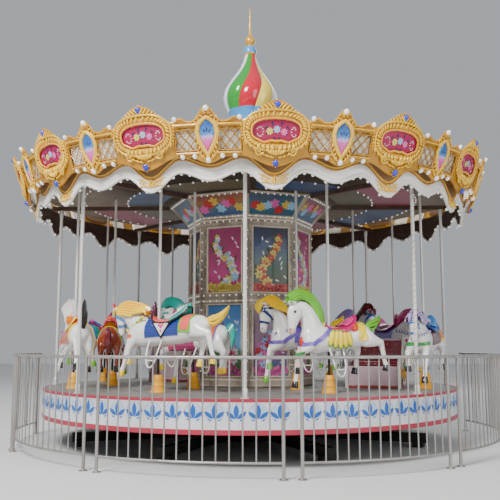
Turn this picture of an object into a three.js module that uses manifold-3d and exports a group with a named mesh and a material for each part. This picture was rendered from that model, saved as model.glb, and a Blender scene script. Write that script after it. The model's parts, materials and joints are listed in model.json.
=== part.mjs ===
// A small fairground carousel with its fence, at real size in millimetres, +Z up.
// The origin is on the ground, on the axis that the ride turns about. The side seen in the
// photograph faces -Y. An angle of 0 degrees is that front side, and angles grow towards +X.
import * as THREE from 'three';
import { mergeVertices } from 'three/addons/utils/BufferGeometryUtils.js';
import Module from 'manifold-3d';

const wasm = await Module();
wasm.setup();

// Driving dimensions
const GAP = 0.3; // between pieces that touch
const OVERLAP = 1; // that two solids share where they are joined into one
const RUN_OUT = 10; // that a cutter reaches past the solid it cuts
const DECK_RADIUS = 3000; // outside of the skirt
const DECK_TOP = 776;
const DECK_THICKNESS = 60;
const SKIRT_BOTTOM = 387;
const SKIRT_THICKNESS = 30;
const SKIRT_BOARDS = 4;
const SKIRT_PHASE = 9.8; // where the joint of two skirt boards shows at the front
const POST_RADIUS = 25;
const POST_RING = 2935;
const POST_PHASE = -1.1;
const SECTORS = 8;
const COLUMN_RADIUS = 940; // over the corners of the eight-sided column
const COLUMN_PHASE = -2.5;
const CEILING_BOTTOM = 3500;
const CEILING_THICKNESS = 30;
const CEILING_RADIUS = 3170;
const RIB_DEPTH = 60;
const CROWN_PERIODS = 14; // one oval and one shield each
const CROWN_PHASE = 4.9;
const CROWN_BOARDS = 7; // two periods on each board
const CROWN_STEPS = 8; // facets in one period
const ROOF_RIM = 3600;
const ROOF_TOP = 4750;
const DOME_TOP = 5950;
const SPIRE_TOP = 6800;
const FENCE_RADIUS = 3480;
const FENCE_CENTRE_X = 100;
const FENCE_TOP = 1255;
const FENCE_RAIL = 170; // height of the bottom rail
const LIFT_LOW = 680; // height of a horse's body over the deck at the lowest
const LIFT_STROKE = 200;

// Horses: ring radius, angle, height over the lowest position as they stand at rest, mould and
// whether the hind legs stretch back or stay gathered under the rump
const HORSES = [
  ['horse_01', 2200, -31.5, 120, 'low', 'stretched'],
  ['horse_02', 2200, 26.5, 10, 'arched', 'stretched'],
  ['horse_03', 1300, -36.6, 5, 'arched', 'gathered'],
  ['horse_04', 1300, 29.5, 40, 'arched', 'gathered'],
  ['horse_05', 2620, 65, 30, 'low', 'gathered'],
  ['horse_06', 2620, 113.5, 90, 'low', 'gathered'],
  ['horse_07', 2620, 147, 20, 'arched', 'stretched'],
  ['horse_08', 2620, -147, 130, 'arched', 'gathered'],
  ['horse_09', 2050, -84, 10, 'low', 'gathered'],
  ['horse_10', 2620, -113.5, 50, 'arched', 'stretched'],
  ['horse_11', 2620, -67, 30, 'arched', 'stretched'],
  ['horse_12', 1800, 111, 30, 'arched', 'gathered'],
];
const CHARIOTS = [
  ['chariot_01', 1900, 72],
  ['chariot_02', 1650, -136],
];

// Colours and surfaces
const finish = (color, roughness, metalness) => ({ color, roughness, metalness });
const GOLD_PAINT = finish(0xc08a35, 0.5, 0.1);
const CREAM_PAINT = finish(0xe8dfca, 0.5, 0);
const WHITE_PAINT = finish(0xe6e6e2, 0.4, 0);
const WORN_STEEL = finish(0x8d8d8b, 0.55, 0.6);
const DARK_STEEL = finish(0x35332f, 0.7, 0.3);
const COLUMN_PAINT = finish(0xa89c8a, 0.5, 0.1);
const CEILING_PAINT = finish(0x4a2633, 0.6, 0);
const ROOF_PAINT = finish(0x9c8f80, 0.7, 0);
const DOME_PAINT = finish(0xb23a34, 0.4, 0);
const BRIGHT_GOLD = finish(0xd8a73c, 0.3, 0.6);
const HORSE_PAINT = finish(0xece9e2, 0.3, 0);
const CHARIOT_PAINT = finish(0xc9506f, 0.4, 0);

const radians = (degrees) => (degrees * Math.PI) / 180;
const lerp = (a, b, t) => a + (b - a) * t;

// The point at a radius, an angle in degrees and a height
function polar(radius, degrees, z = 0) {
  const angle = radians(degrees);
  return new THREE.Vector3(radius * Math.sin(angle), -radius * Math.cos(angle), z);
}

// A closed three.js geometry as a solid that can be joined and cut
function solid(geometry) {
  const bare = geometry.clone();
  bare.deleteAttribute('normal');
  bare.deleteAttribute('uv');
  const merged = mergeVertices(bare, 1e-3);
  const index = merged.index.array;
  const triangles = [];
  for (let i = 0; i < index.length; i += 3) {
    const [a, b, c] = [index[i], index[i + 1], index[i + 2]];
    if (a !== b && b !== c && c !== a) triangles.push(a, b, c);
  }
  const vertProperties = new Float32Array(merged.attributes.position.array);
  return new wasm.Manifold(new wasm.Mesh({ numProp: 3, vertProperties, triVerts: new Uint32Array(triangles) }));
}

const join = (parts) => parts.reduce((whole, part) => whole.add(part));

const group = new THREE.Group();

// Adds a solid to the scene as a named mesh
function place(name, body, look) {
  const data = body.getMesh();
  const geometry = new THREE.BufferGeometry();
  geometry.setAttribute('position', new THREE.BufferAttribute(new Float32Array(data.vertProperties), 3));
  geometry.setIndex(new THREE.BufferAttribute(new Uint32Array(data.triVerts), 1));
  geometry.computeVertexNormals();
  const mesh = new THREE.Mesh(geometry, new THREE.MeshStandardMaterial(look));
  mesh.name = name;
  group.add(mesh);
  return mesh;
}

// An upright drum with flat sides, a flat side's corner at the phase angle
function drum(bottomRadius, topRadius, z0, z1, sides, phase = 0, centre = new THREE.Vector3()) {
  const geometry = new THREE.CylinderGeometry(topRadius, bottomRadius, z1 - z0, sides, 1);
  geometry.rotateX(Math.PI / 2);
  geometry.rotateZ(radians(phase));
  geometry.translate(centre.x, centre.y, (z0 + z1) / 2);
  return solid(geometry);
}

// A box that lies along a radius
function radialBox(r0, r1, width, z0, z1, degrees) {
  const geometry = new THREE.BoxGeometry(width, r1 - r0, z1 - z0);
  geometry.translate(0, -(r0 + r1) / 2, (z0 + z1) / 2);
  geometry.rotateZ(radians(degrees));
  return solid(geometry);
}

// A block whose points are put where shape(u, v, w) says, u, v and w running from 0 to 1
function warped(nu, nv, nw, shape) {
  const geometry = new THREE.BoxGeometry(1, 1, 1, nu, nv, nw);
  const position = geometry.attributes.position;
  for (let i = 0; i < position.count; i += 1) {
    const p = shape(position.getX(i) + 0.5, position.getY(i) + 0.5, position.getZ(i) + 0.5);
    position.setXYZ(i, p.x, p.y, p.z);
  }
  return solid(geometry);
}

// A part of a round wall between two angles, w running outwards
function arcWall(r0, r1, z0, z1, from, to, steps) {
  return warped(steps, 1, 1, (u, v, w) => polar(lerp(r0, r1, w), lerp(from, to, u), lerp(z0, z1, v)));
}

// A round form through stations of centre, half width and half height, with sides flats.
// Its sections stand square to the way that it runs.
function limb(stations, sides) {
  const last = stations.length - 1;
  const geometry = new THREE.CylinderGeometry(1, 1, last, sides, last);
  const centres = stations.map((s) => new THREE.Vector3(...s.at));
  const position = geometry.attributes.position;
  for (let i = 0; i < position.count; i += 1) {
    const k = Math.round(last / 2 - position.getY(i));
    const before = centres[Math.max(k - 1, 0)];
    const after = centres[Math.min(k + 1, last)];
    const along = after.clone().sub(before).normalize();
    const across = new THREE.Vector3(0, 1, 0).addScaledVector(along, -along.y).normalize();
    const up = new THREE.Vector3().crossVectors(along, across);
    const p = centres[k].clone();
    p.addScaledVector(across, position.getX(i) * stations[k].wide);
    p.addScaledVector(up, position.getZ(i) * stations[k].high);
    position.setXYZ(i, p.x, p.y, p.z);
  }
  return solid(geometry);
}
const station = (x, y, z, wide, high = wide) => ({ at: [x, y, z], wide, high });

// Fixed base: pedestal, radial beams and feet
const PEDESTAL_TOP = 550;
const PEDESTAL_RADIUS = 500;
const BEARING_TOP = 620;
const BEARING_RADIUS = 470;
const HUB_SIDES = 24;
const PEDESTAL_TAPER = 20;
const FOOT_RADIUS = 2490;
const FOOT_HALF = 70;
const FOOT_WIDTH = 180;
const FOOT_HEIGHT = 80;
const GIRDER_WIDTH = 100;
const GIRDER_BOTTOM = 60;
const GIRDER_TOP = 180;
const GIRDER_INNER = 400;
const GIRDER_END = 2600;
const SECTOR = 360 / SECTORS;

function baseFrame() {
  const parts = [drum(PEDESTAL_RADIUS, PEDESTAL_RADIUS - PEDESTAL_TAPER, 0, PEDESTAL_TOP, HUB_SIDES)];
  for (let k = 0; k < SECTORS; k += 1) {
    const angle = POST_PHASE + SECTOR * (k + 0.5);
    parts.push(radialBox(GIRDER_INNER, GIRDER_END, GIRDER_WIDTH, GIRDER_BOTTOM, GIRDER_TOP, angle));
    parts.push(radialBox(FOOT_RADIUS - FOOT_HALF, FOOT_RADIUS + FOOT_HALF, FOOT_WIDTH, 0, FOOT_HEIGHT, angle));
  }
  place('base_frame', join(parts), DARK_STEEL);
  place('centre_bearing', drum(BEARING_RADIUS, BEARING_RADIUS, PEDESTAL_TOP + GAP, BEARING_TOP, HUB_SIDES), WORN_STEEL);
}

// Turning deck: plate, hub, beams and the yellow boots that the lift rods come out of
const BOOT_HEIGHT = 220;
const BOOT_BASE = 98;
const BOOT_TOP = 55;
const ROD_RADIUS = 16;
const POLE_RADIUS = 19;
const GUIDE_CLEARANCE = 0.45;
const GUIDE_SIDES = 6;
const RIM_STEPS = 48;
const HUB_RADIUS = 600;
const HUB_TAPER = 100;
const BEAM_BOTTOM = 650;
const BEAM_WIDTH = 80;
const BEAM_INNER = 450;
const BEAM_END = 2850;

function deck() {
  const bottom = DECK_TOP - DECK_THICKNESS;
  const plate = DECK_RADIUS - SKIRT_THICKNESS;
  const parts = [drum(plate, plate, bottom, DECK_TOP, RIM_STEPS, SKIRT_PHASE)];
  parts.push(drum(HUB_RADIUS - HUB_TAPER, HUB_RADIUS, BEARING_TOP + GAP, bottom + OVERLAP, HUB_SIDES));
  for (let k = 0; k < SECTORS; k += 1) {
    parts.push(radialBox(BEAM_INNER, BEAM_END, BEAM_WIDTH, BEAM_BOTTOM, bottom + OVERLAP, POST_PHASE + SECTOR * k));
  }
  for (const [, ring, angle] of HORSES) {
    parts.push(drum(BOOT_BASE, BOOT_TOP, DECK_TOP - OVERLAP, DECK_TOP + BOOT_HEIGHT, 8, angle, polar(ring, angle)));
  }
  const bore = ROD_RADIUS + GUIDE_CLEARANCE;
  const bores = HORSES.map(([, ring, angle]) =>
    drum(bore, bore, BEAM_BOTTOM - RUN_OUT, DECK_TOP + BOOT_HEIGHT + RUN_OUT, GUIDE_SIDES, angle, polar(ring, angle)));
  place('deck', join(parts).subtract(join(bores)), WORN_STEEL);
}

function skirts() {
  const span = 360 / SKIRT_BOARDS;
  const joint = 0.01; // degrees
  for (let k = 0; k < SKIRT_BOARDS; k += 1) {
    const start = SKIRT_PHASE + k * span;
    const wall = arcWall(DECK_RADIUS - SKIRT_THICKNESS + GAP, DECK_RADIUS, SKIRT_BOTTOM, DECK_TOP,
      start + joint, start + span - joint, RIM_STEPS / SKIRT_BOARDS);
    place(`skirt_${k + 1}`, wall, WHITE_PAINT);
  }
}

const FLANGE_WIDTH = 30; // of a post's foot
const FLANGE_HEIGHT = 15;
const FLANGE_TAPER = 3;

function posts() {
  const top = CEILING_BOTTOM - RIB_DEPTH - GAP;
  const rim = POST_RADIUS + FLANGE_WIDTH;
  for (let k = 0; k < SECTORS; k += 1) {
    const angle = POST_PHASE + SECTOR * k;
    const at = polar(POST_RING, angle);
    const foot = drum(rim, rim - FLANGE_TAPER, DECK_TOP + GAP, DECK_TOP + FLANGE_HEIGHT, 8, angle, at);
    const shaft = drum(POST_RADIUS, POST_RADIUS, DECK_TOP + OVERLAP, top, 8, angle, at);
    place(`post_${k + 1}`, foot.add(shaft), WHITE_PAINT);
  }
}

// Eight-sided column in tiers, each with sunk picture panels between its stiles and rails
const COLUMN_SILL = 930;
const COLUMN_MIDDLE = 2020;
const COLUMN_BAND = 3180;
const LOWER_PANEL_TOP = 1948;
const UPPER_PANEL = [2088, 3050];
const CORNICE_RADIUS = 1240;
const PANEL_SINK = 25;
const STILE_WIDTH = 85;
const PLINTH_RADIUS = 960;
const PLINTH_TOP = 890;

function tier(z0, z1, panel0, panel1) {
  const half = radians(SECTOR / 2);
  const apothem = COLUMN_RADIUS * Math.cos(half);
  const opening = 2 * COLUMN_RADIUS * Math.sin(half) - 2 * STILE_WIDTH;
  const cuts = [];
  for (let k = 0; k < SECTORS; k += 1) {
    const angle = COLUMN_PHASE + SECTOR * (k + 0.5);
    cuts.push(radialBox(apothem - PANEL_SINK, apothem + RUN_OUT, opening, panel0, panel1, angle));
  }
  return drum(COLUMN_RADIUS, COLUMN_RADIUS, z0, z1, SECTORS, COLUMN_PHASE).subtract(join(cuts));
}

function column() {
  const plinth = drum(PLINTH_RADIUS, PLINTH_RADIUS, DECK_TOP + GAP, PLINTH_TOP, SECTORS, COLUMN_PHASE);
  const lower = tier(DECK_TOP + GAP, COLUMN_MIDDLE - GAP, COLUMN_SILL, LOWER_PANEL_TOP).add(plinth);
  place('column_lower', lower, COLUMN_PAINT);
  place('column_upper', tier(COLUMN_MIDDLE, COLUMN_BAND - GAP, ...UPPER_PANEL), COLUMN_PAINT);
  const cornice = drum(COLUMN_RADIUS, CORNICE_RADIUS, COLUMN_BAND, CEILING_BOTTOM - GAP, SECTORS, COLUMN_PHASE);
  place('column_cornice', cornice, COLUMN_PAINT);
}

// Flat ceiling with ribs, an upstand for the roof and guide holes for the poles
const CEILING_SIDES = (CROWN_PERIODS * CROWN_STEPS) / 2;
const UPSTAND = 60;
const RIB_WIDTH = 60;
const RIB_START = 1260;
const RIB_END = 3080;

function ceiling() {
  const top = CEILING_BOTTOM + CEILING_THICKNESS;
  const parts = [drum(CEILING_RADIUS, CEILING_RADIUS, CEILING_BOTTOM, top, CEILING_SIDES, CROWN_PHASE)];
  const outer = drum(CEILING_RADIUS, CEILING_RADIUS, top - OVERLAP, ROOF_RIM, CEILING_SIDES, CROWN_PHASE);
  const inner = CEILING_RADIUS - UPSTAND;
  parts.push(outer.subtract(drum(inner, inner, top - RUN_OUT, ROOF_RIM + RUN_OUT, CEILING_SIDES / 2, CROWN_PHASE)));
  for (let k = 0; k < SECTORS; k += 1) {
    const angle = POST_PHASE + SECTOR * k;
    parts.push(radialBox(RIB_START, RIB_END, RIB_WIDTH, CEILING_BOTTOM - RIB_DEPTH, CEILING_BOTTOM + OVERLAP, angle));
  }
  const bore = POLE_RADIUS + GUIDE_CLEARANCE;
  const holes = HORSES.map(([, ring, angle]) =>
    drum(bore, bore, CEILING_BOTTOM - RUN_OUT, top + RUN_OUT, GUIDE_SIDES, angle, polar(ring, angle)));
  place('ceiling', join(parts).subtract(join(holes)), CEILING_PAINT);
}

// Shallow roof cone behind the crown, a shell that the drum of the dome closes
const DOME_SEAT = 450;
const ROOF_SHELL = 30;
const ROOF_LIP = 20; // upright rim of the roof
const ROOF_SEAT = 50; // width of the rim that lies on the upstand

function roof() {
  const rim = CEILING_RADIUS - OVERLAP;
  const low = ROOF_RIM + GAP;
  const profile = [
    [rim, low], [rim, low + ROOF_LIP], [DOME_SEAT, ROOF_TOP], [0, ROOF_TOP],
    [0, ROOF_TOP - ROOF_SHELL], [DOME_SEAT - ROOF_SHELL, ROOF_TOP - ROOF_SHELL], [rim - ROOF_SEAT, low],
  ];
  const geometry = new THREE.LatheGeometry(profile.concat([profile[0]]).map(([r, z]) => new THREE.Vector2(r, z)), 32);
  geometry.rotateX(Math.PI / 2);
  place('roof', solid(geometry), ROOF_PAINT);
}

// Onion dome and its finial
const DOME_PROFILE = [
  [0, ROOF_TOP + GAP], [290, ROOF_TOP + GAP], [310, 4940], [392, 5100], [420, 5246], [385, 5380],
  [300, 5520], [200, 5670], [125, 5810], [85, DOME_TOP], [0, DOME_TOP],
];
const FINIAL_PROFILE = [
  [0, DOME_TOP + GAP], [95, DOME_TOP + GAP], [105, 6020], [80, 6090], [45, 6115], [80, 6160], [82, 6210],
  [50, 6260], [22, 6300], [16, 6500], [4, SPIRE_TOP], [0, SPIRE_TOP],
];

function turned(profile, sides) {
  const geometry = new THREE.LatheGeometry(profile.map(([r, z]) => new THREE.Vector2(r, z)), sides);
  geometry.rotateX(Math.PI / 2);
  return solid(geometry);
}

// Height of the crown's top and bottom edges and of the valance's scallops at t, which is 0 at
// an oval's middle and 1 at a shield's middle
const bump = (t, centre, width) => Math.max(0, Math.cos(Math.min(1, Math.abs(t - centre) / width) * Math.PI * 0.5)) ** 2;
const crownTop = (t) => 3800 + 200 * bump(t, 0, 0.5) + 40 * bump(t, 0.6, 0.12) + 150 * bump(t, 1, 0.22);
const crownBottom = (t) => 3420 - 110 * bump(t, 0, 0.5) - 70 * bump(t, 1, 0.3);
const valanceBottom = (t) => 3285 - 205 * bump(t, 0, 0.5) - 105 * bump(t, 1, 0.5);
const fromOval = (degrees) => {
  const period = 360 / CROWN_PERIODS;
  const x = (((degrees - CROWN_PHASE) / period) % 1 + 1) % 1;
  return 1 - Math.abs(1 - 2 * x);
};
const CROWN_FOOT = [CEILING_RADIUS + 80, 3310]; // radius and height where the leaning face starts
const CROWN_HEAD = [3500, 3990]; // and where it ends
const CROWN_BOW = 20;
const CROWN_PEAK = 50; // how far the tip over each oval stands out
const CROWN_THICKNESS = 60;
const BOARD_SPAN = 360 / CROWN_BOARDS;
const BOARD_JOINT = 0.006; // degrees
const boardAngle = (k, u) =>
  lerp(BOARD_JOINT, BOARD_SPAN - BOARD_JOINT, u) + CROWN_PHASE + BOARD_SPAN * (k - 0.25);

// Up to the rim of the roof (v = 1/3) a board rests on the ceiling's edge, over it stands free
function crownBoard(k) {
  return warped(2 * CROWN_STEPS, 3, 1, (u, v, w) => {
    const angle = boardAngle(k, u);
    const t = fromOval(angle);
    const seated = v < 0.5;
    const z = seated ? lerp(crownBottom(t), ROOF_RIM, 3 * v) : lerp(ROOF_RIM, crownTop(t), 1.5 * v - 0.5);
    const lean = (z - CROWN_FOOT[1]) / (CROWN_HEAD[1] - CROWN_FOOT[1]);
    const bow = CROWN_BOW * Math.sin(Math.PI * v) + CROWN_PEAK * bump(t, 0, 0.25) * v ** 4;
    const face = lerp(CROWN_FOOT[0], CROWN_HEAD[0], lean) + bow;
    const inside = CEILING_RADIUS + GAP;
    const back = seated ? inside : face - CROWN_THICKNESS;
    return polar(w > 0.5 ? face : back, angle, z);
  });
}

const VALANCE_THICKNESS = 45;

function valanceBoard(k) {
  return warped(2 * CROWN_STEPS, 1, 1, (u, v, w) => {
    const angle = boardAngle(k, u);
    const z = lerp(valanceBottom(fromOval(angle)), CEILING_BOTTOM - GAP, v);
    const face = lerp(CEILING_RADIUS - 20, CEILING_RADIUS - 5, v);
    return polar(w > 0.5 ? face : face - VALANCE_THICKNESS, angle, z);
  });
}

function crown() {
  for (let k = 0; k < CROWN_BOARDS; k += 1) {
    place(`crown_board_${k + 1}`, crownBoard(k), GOLD_PAINT);
    place(`valance_${k + 1}`, valanceBoard(k), CREAM_PAINT);
  }
}

// Horses with pole, lift rod and foot rests, heading along +X, the pole at the origin and the
// body's middle at height 0. There are two moulds: one arches its neck, and the longer one
// carries its neck low and its tail streaming.
const MOULDS = {
  arched: {
    body: [
      station(395, 0, 20, 85, 105), station(270, 0, -5, 145, 175), station(-60, 0, -5, 145, 155),
      station(-350, 0, 22, 155, 168), station(-565, 0, 70, 75, 85),
    ],
    neck: [station(255, 0, 50, 105, 170), station(310, 0, 260, 80, 120), station(435, 0, 390, 56, 80)],
    head: [station(450, 0, 405, 55, 68), station(490, 0, 285, 65, 92), station(522, 0, 50, 38, 48)],
    mane: [
      station(95, 0, 165, 28, 40), station(145, 0, 330, 32, 65), station(230, 0, 445, 34, 70),
      station(335, 0, 500, 34, 70), station(455, 0, 500, 30, 60), station(560, 0, 465, 20, 35),
    ],
    raised: [station(330, 95, -90, 60, 75), station(490, 100, -190, 40, 42), station(498, 100, -440, 34, 36)],
    reaching: [station(300, -95, -100, 60, 75), station(385, -100, -330, 36, 40), station(430, -100, -625, 34, 36)],
    hind: -430,
    tail: [station(-515, 0, 105, 28, 28), station(-640, 0, 160, 42, 48), station(-765, 0, 250, 18, 25)],
  },
  low: {
    body: [
      station(455, 0, -45, 80, 100), station(325, 0, -45, 140, 175), station(120, 0, -48, 145, 180),
      station(-170, 0, -45, 145, 165), station(-430, 0, -15, 155, 170), station(-640, 0, 15, 130, 140),
      station(-755, 0, 0, 60, 80),
    ],
    neck: [station(300, 0, 30, 105, 175), station(430, 0, 130, 85, 150), station(570, 0, 195, 62, 95)],
    head: [station(600, 0, 240, 54, 60), station(640, 0, 145, 65, 85), station(592, 0, -50, 38, 48)],
    mane: [
      station(120, 0, 165, 28, 40), station(240, 0, 265, 34, 65), station(390, 0, 300, 36, 60),
      station(540, 0, 290, 32, 50), station(675, 0, 240, 20, 35),
    ],
    raised: [station(365, -95, -120, 60, 75), station(560, -100, -215, 40, 42), station(556, -100, -455, 34, 36)],
    reaching: [station(345, 95, -130, 60, 75), station(440, 100, -350, 36, 40), station(528, 100, -600, 34, 36)],
    hind: -545,
    tail: [station(-700, 0, 80, 30, 30), station(-870, 0, 100, 45, 50), station(-1045, 0, 240, 20, 28)],
  },
};
const KNEES_BACK = { stretched: [-290, -75, -365], gathered: [-180, -190, -130] }; // hock x, z and fetlock x
const FAR_LEG = [-65, -190, -25];
const HIND_HOOF = { stretched: -430, gathered: -470 };

const hindLeg = (hip, side, [hockX, hockZ, hoofX], hoofZ) => [
  station(hip, side * 100, -20, 65, 105), station(hip + hockX, side * 105, hockZ, 42, 50),
  station(hip + hoofX, side * 105, hoofZ, 34, 36),
];

const FOOT_REST_RADIUS = 11;

// A foot rest: a bent tube that hangs beside the belly
function footRest(side) {
  const y = (d) => side * d;
  const loop = [
    [60, y(80), -90], [50, y(190), -300], [20, y(215), -450], [-40, y(225), -500],
    [-100, y(215), -450], [-130, y(190), -300], [-140, y(75), -70],
  ];
  const path = new THREE.CatmullRomCurve3(loop.map((p) => new THREE.Vector3(...p)));
  const section = new THREE.Shape();
  const r = FOOT_REST_RADIUS;
  section.moveTo(r, 0);
  section.lineTo(-r / 2, r);
  section.lineTo(-r / 2, -r);
  section.closePath();
  return solid(new THREE.ExtrudeGeometry(section, { steps: 7, extrudePath: path }));
}

function horse(mould, stance) {
  const { body, neck, head, mane, raised, reaching, hind, tail } = MOULDS[mould];
  const parts = [
    limb(body, 8), limb(neck, 6), limb(head, 6), limb(mane, 4), limb(tail, 4), limb(raised, 4), limb(reaching, 4),
    limb(hindLeg(hind, 1, KNEES_BACK[stance], HIND_HOOF[stance]), 4), limb(hindLeg(hind, -1, FAR_LEG, HIND_HOOF.gathered), 4),
    footRest(1), footRest(-1),
  ];
  return join(parts);
}

const POLE_SPARE = 20; // that a pole still reaches over the ceiling at its lowest
const ROD_DROP = 100; // that a lift rod reaches below the deck's top at its lowest

function horses() {
  for (const [name, ring, angle, lift, mould, stance] of HORSES) {
    const height = DECK_TOP + LIFT_LOW + lift;
    const at = polar(ring, angle, height);
    const body = horse(mould, stance).rotate([0, 0, 180 + angle]).translate([at.x, at.y, at.z]);
    const poleTop = CEILING_BOTTOM + CEILING_THICKNESS + POLE_SPARE + lift;
    const rodFoot = DECK_TOP - ROD_DROP + lift;
    const pole = drum(POLE_RADIUS, POLE_RADIUS, height, poleTop, GUIDE_SIDES, angle, at);
    const rod = drum(ROD_RADIUS, ROD_RADIUS, rodFoot, height, GUIDE_SIDES, angle, at);
    place(name, join([body, pole, rod]), HORSE_PAINT);
  }
}

const CHARIOT_HALF = 380; // half the width over the side boards
const BOARD_THICKNESS = 40;

// A chariot: a bench between two scrolled sides, heading the way that the ride turns
function chariot([name, ring, angle]) {
  const side = new THREE.Shape();
  side.moveTo(-380, 0);
  side.lineTo(380, 0);
  side.quadraticCurveTo(440, 260, 330, 420);
  side.quadraticCurveTo(180, 330, 60, 330);
  side.quadraticCurveTo(-120, 380, -250, 720);
  side.quadraticCurveTo(-420, 560, -380, 0);
  const board = new THREE.ExtrudeGeometry(side, { depth: BOARD_THICKNESS, bevelEnabled: false, curveSegments: 5 });
  board.rotateX(Math.PI / 2);
  const left = solid(board).translate([0, CHARIOT_HALF, 0]);
  const right = solid(board).translate([0, BOARD_THICKNESS - CHARIOT_HALF, 0]);
  const inside = 2 * (CHARIOT_HALF - BOARD_THICKNESS + RUN_OUT);
  const block = (x0, x1, z0, z1) => {
    const geometry = new THREE.BoxGeometry(x1 - x0, inside, z1 - z0);
    geometry.translate((x0 + x1) / 2, 0, (z0 + z1) / 2);
    return solid(geometry);
  };
  const seat = block(-300, 100, 300, 360);
  const back = block(-320, -260, 0, 680);
  const front = block(330, 380, 0, 300);
  const floor = block(-330, 380, 0, 40);
  const at = polar(ring, angle, DECK_TOP + GAP);
  const whole = join([left, right, seat, back, front, floor]).rotate([0, 0, 180 + angle]);
  place(name, whole.translate([at.x, at.y, at.z]), CHARIOT_PAINT);
}

// Fence: curved bays of tube, each with a post at both ends; the top rails run on to each other
const FENCE_JOINTS = [-100, -67, -32, 5.6, 39.5, 72, 106];
const BALUSTERS = 14; // in each bay
const POST_INSET = 1.6; // degrees from the joint to the bay's post
const TOP_TUBE = 20; // half the height of the top rail
const LOW_TUBE = 14;
const FENCE_POST = 19;
const FENCE_FOOT = 50;
const FOOT_PLATE = 8; // thickness of a fence post's plate
const BALUSTER_RADIUS = 9;

function fencePoint(radius, degrees, z) {
  const p = polar(radius, degrees, z);
  p.x += FENCE_CENTRE_X;
  return p;
}

function fenceRail(z, half, from, to) {
  return warped(6, 1, 1, (u, v, w) =>
    fencePoint(FENCE_RADIUS + lerp(-half, half, w), lerp(from, to, u), z + lerp(-half, half, v)));
}

function fenceBay(k) {
  const [from, to] = [FENCE_JOINTS[k], FENCE_JOINTS[k + 1]];
  const first = from + POST_INSET;
  const last = to - POST_INSET;
  const joint = 0.003; // degrees
  const middle = FENCE_TOP - TOP_TUBE;
  const parts = [fenceRail(middle, TOP_TUBE, from + joint, to - joint), fenceRail(FENCE_RAIL, LOW_TUBE, first, last)];
  for (const angle of [first, last]) {
    const at = fencePoint(FENCE_RADIUS, angle, 0);
    parts.push(drum(FENCE_POST, FENCE_POST, FOOT_PLATE - OVERLAP, middle, 8, angle, at));
    parts.push(drum(FENCE_FOOT, FENCE_FOOT, 0, FOOT_PLATE, 8, angle, at));
  }
  for (let i = 1; i <= BALUSTERS; i += 1) {
    const angle = lerp(first, last, i / (BALUSTERS + 1));
    const at = fencePoint(FENCE_RADIUS, angle, 0);
    parts.push(drum(BALUSTER_RADIUS, BALUSTER_RADIUS, FENCE_RAIL, middle, 4, angle + 45, at));
  }
  place(`fence_bay_${k + 1}`, join(parts), WORN_STEEL);
}

baseFrame();
deck();
skirts();
posts();
column();
ceiling();
roof();
crown();
place('onion_dome', turned(DOME_PROFILE, 16), DOME_PAINT);
place('finial', turned(FINIAL_PROFILE, 12), BRIGHT_GOLD);
horses();
CHARIOTS.forEach(chariot);
for (let k = 0; k < FENCE_JOINTS.length - 1; k += 1) fenceBay(k);

export default group;
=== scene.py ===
# %% [markdown]
# A fairground carousel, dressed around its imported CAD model. The real ride is a steel base, a
# turning platform with horses on poles, an eight-sided column, and a crown of painted fibreglass
# relief under an onion dome. The CAD model gives every place and size, so each piece here is made
# where the frame says, in metres, with +Z up and the front towards -Y.

# %% Load the frame
import json
import math
import random

import bmesh
import bpy
from mathutils import Matrix, Vector

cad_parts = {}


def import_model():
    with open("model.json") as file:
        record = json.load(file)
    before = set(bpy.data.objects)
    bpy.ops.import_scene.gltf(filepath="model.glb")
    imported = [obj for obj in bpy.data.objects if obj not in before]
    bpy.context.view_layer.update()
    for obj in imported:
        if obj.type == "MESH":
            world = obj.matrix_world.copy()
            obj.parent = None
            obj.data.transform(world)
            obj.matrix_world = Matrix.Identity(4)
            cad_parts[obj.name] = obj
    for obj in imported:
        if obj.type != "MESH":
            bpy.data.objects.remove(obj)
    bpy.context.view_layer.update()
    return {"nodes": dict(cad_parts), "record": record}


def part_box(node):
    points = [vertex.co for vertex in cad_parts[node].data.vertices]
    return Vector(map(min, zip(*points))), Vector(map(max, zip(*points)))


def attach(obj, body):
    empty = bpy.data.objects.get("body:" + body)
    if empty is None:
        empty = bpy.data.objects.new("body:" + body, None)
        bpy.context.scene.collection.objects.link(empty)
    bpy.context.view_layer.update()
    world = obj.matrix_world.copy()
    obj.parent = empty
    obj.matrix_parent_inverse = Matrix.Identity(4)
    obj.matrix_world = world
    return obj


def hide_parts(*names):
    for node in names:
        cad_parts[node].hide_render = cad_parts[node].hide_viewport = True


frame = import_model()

# %% [markdown]
# The driving dimensions are those of the ride itself: the platform's radius and height, the ring
# of posts, the column, the crown with its fourteen ovals, and the fence. What can be read from the
# frame is read from it, so that the looks follow the CAD model.

# %% Driving dimensions
DECK_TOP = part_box("skirt_1")[1].z
SKIRT_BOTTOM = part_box("skirt_1")[0].z
DECK_RADIUS = 3.0
SKIRT_PHASE = 9.8
POST_RING = 2.935
POST_PHASE = -1.1
SECTORS = 8
SECTOR = 360 / SECTORS
COLUMN_RADIUS = 0.94
COLUMN_PHASE = -2.5
CORNICE_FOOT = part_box("column_cornice")[0].z
CEILING_LOW = 3.5
CEILING_RADIUS = 3.17
SEAT = 0.001
PERIODS = 14
PERIOD = 360 / PERIODS
CROWN_PHASE = 4.9
ROOF_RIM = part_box("roof")[0].z
SPIRE_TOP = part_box("finial")[1].z
FENCE_RADIUS = 3.48
FENCE_CENTRE = Vector((0.1, 0, 0))
FENCE_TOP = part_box("fence_bay_1")[1].z
FENCE_RAIL = 0.17
print("deck top", round(DECK_TOP, 3), "fence top", round(FENCE_TOP, 3), "spire", round(SPIRE_TOP, 3))

# %% [markdown]
# The camera stands where the photograph was taken: low, in front of the ride, looking a little
# up. The frame is square, so one lens length fixes the view. It is made first, so that every later
# piece can be judged through it.

# %% Camera
CAMERA_PLACE = (0, -11.074, 1.355)
CAMERA_TILT = 7.53
LENS = 52.2


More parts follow.
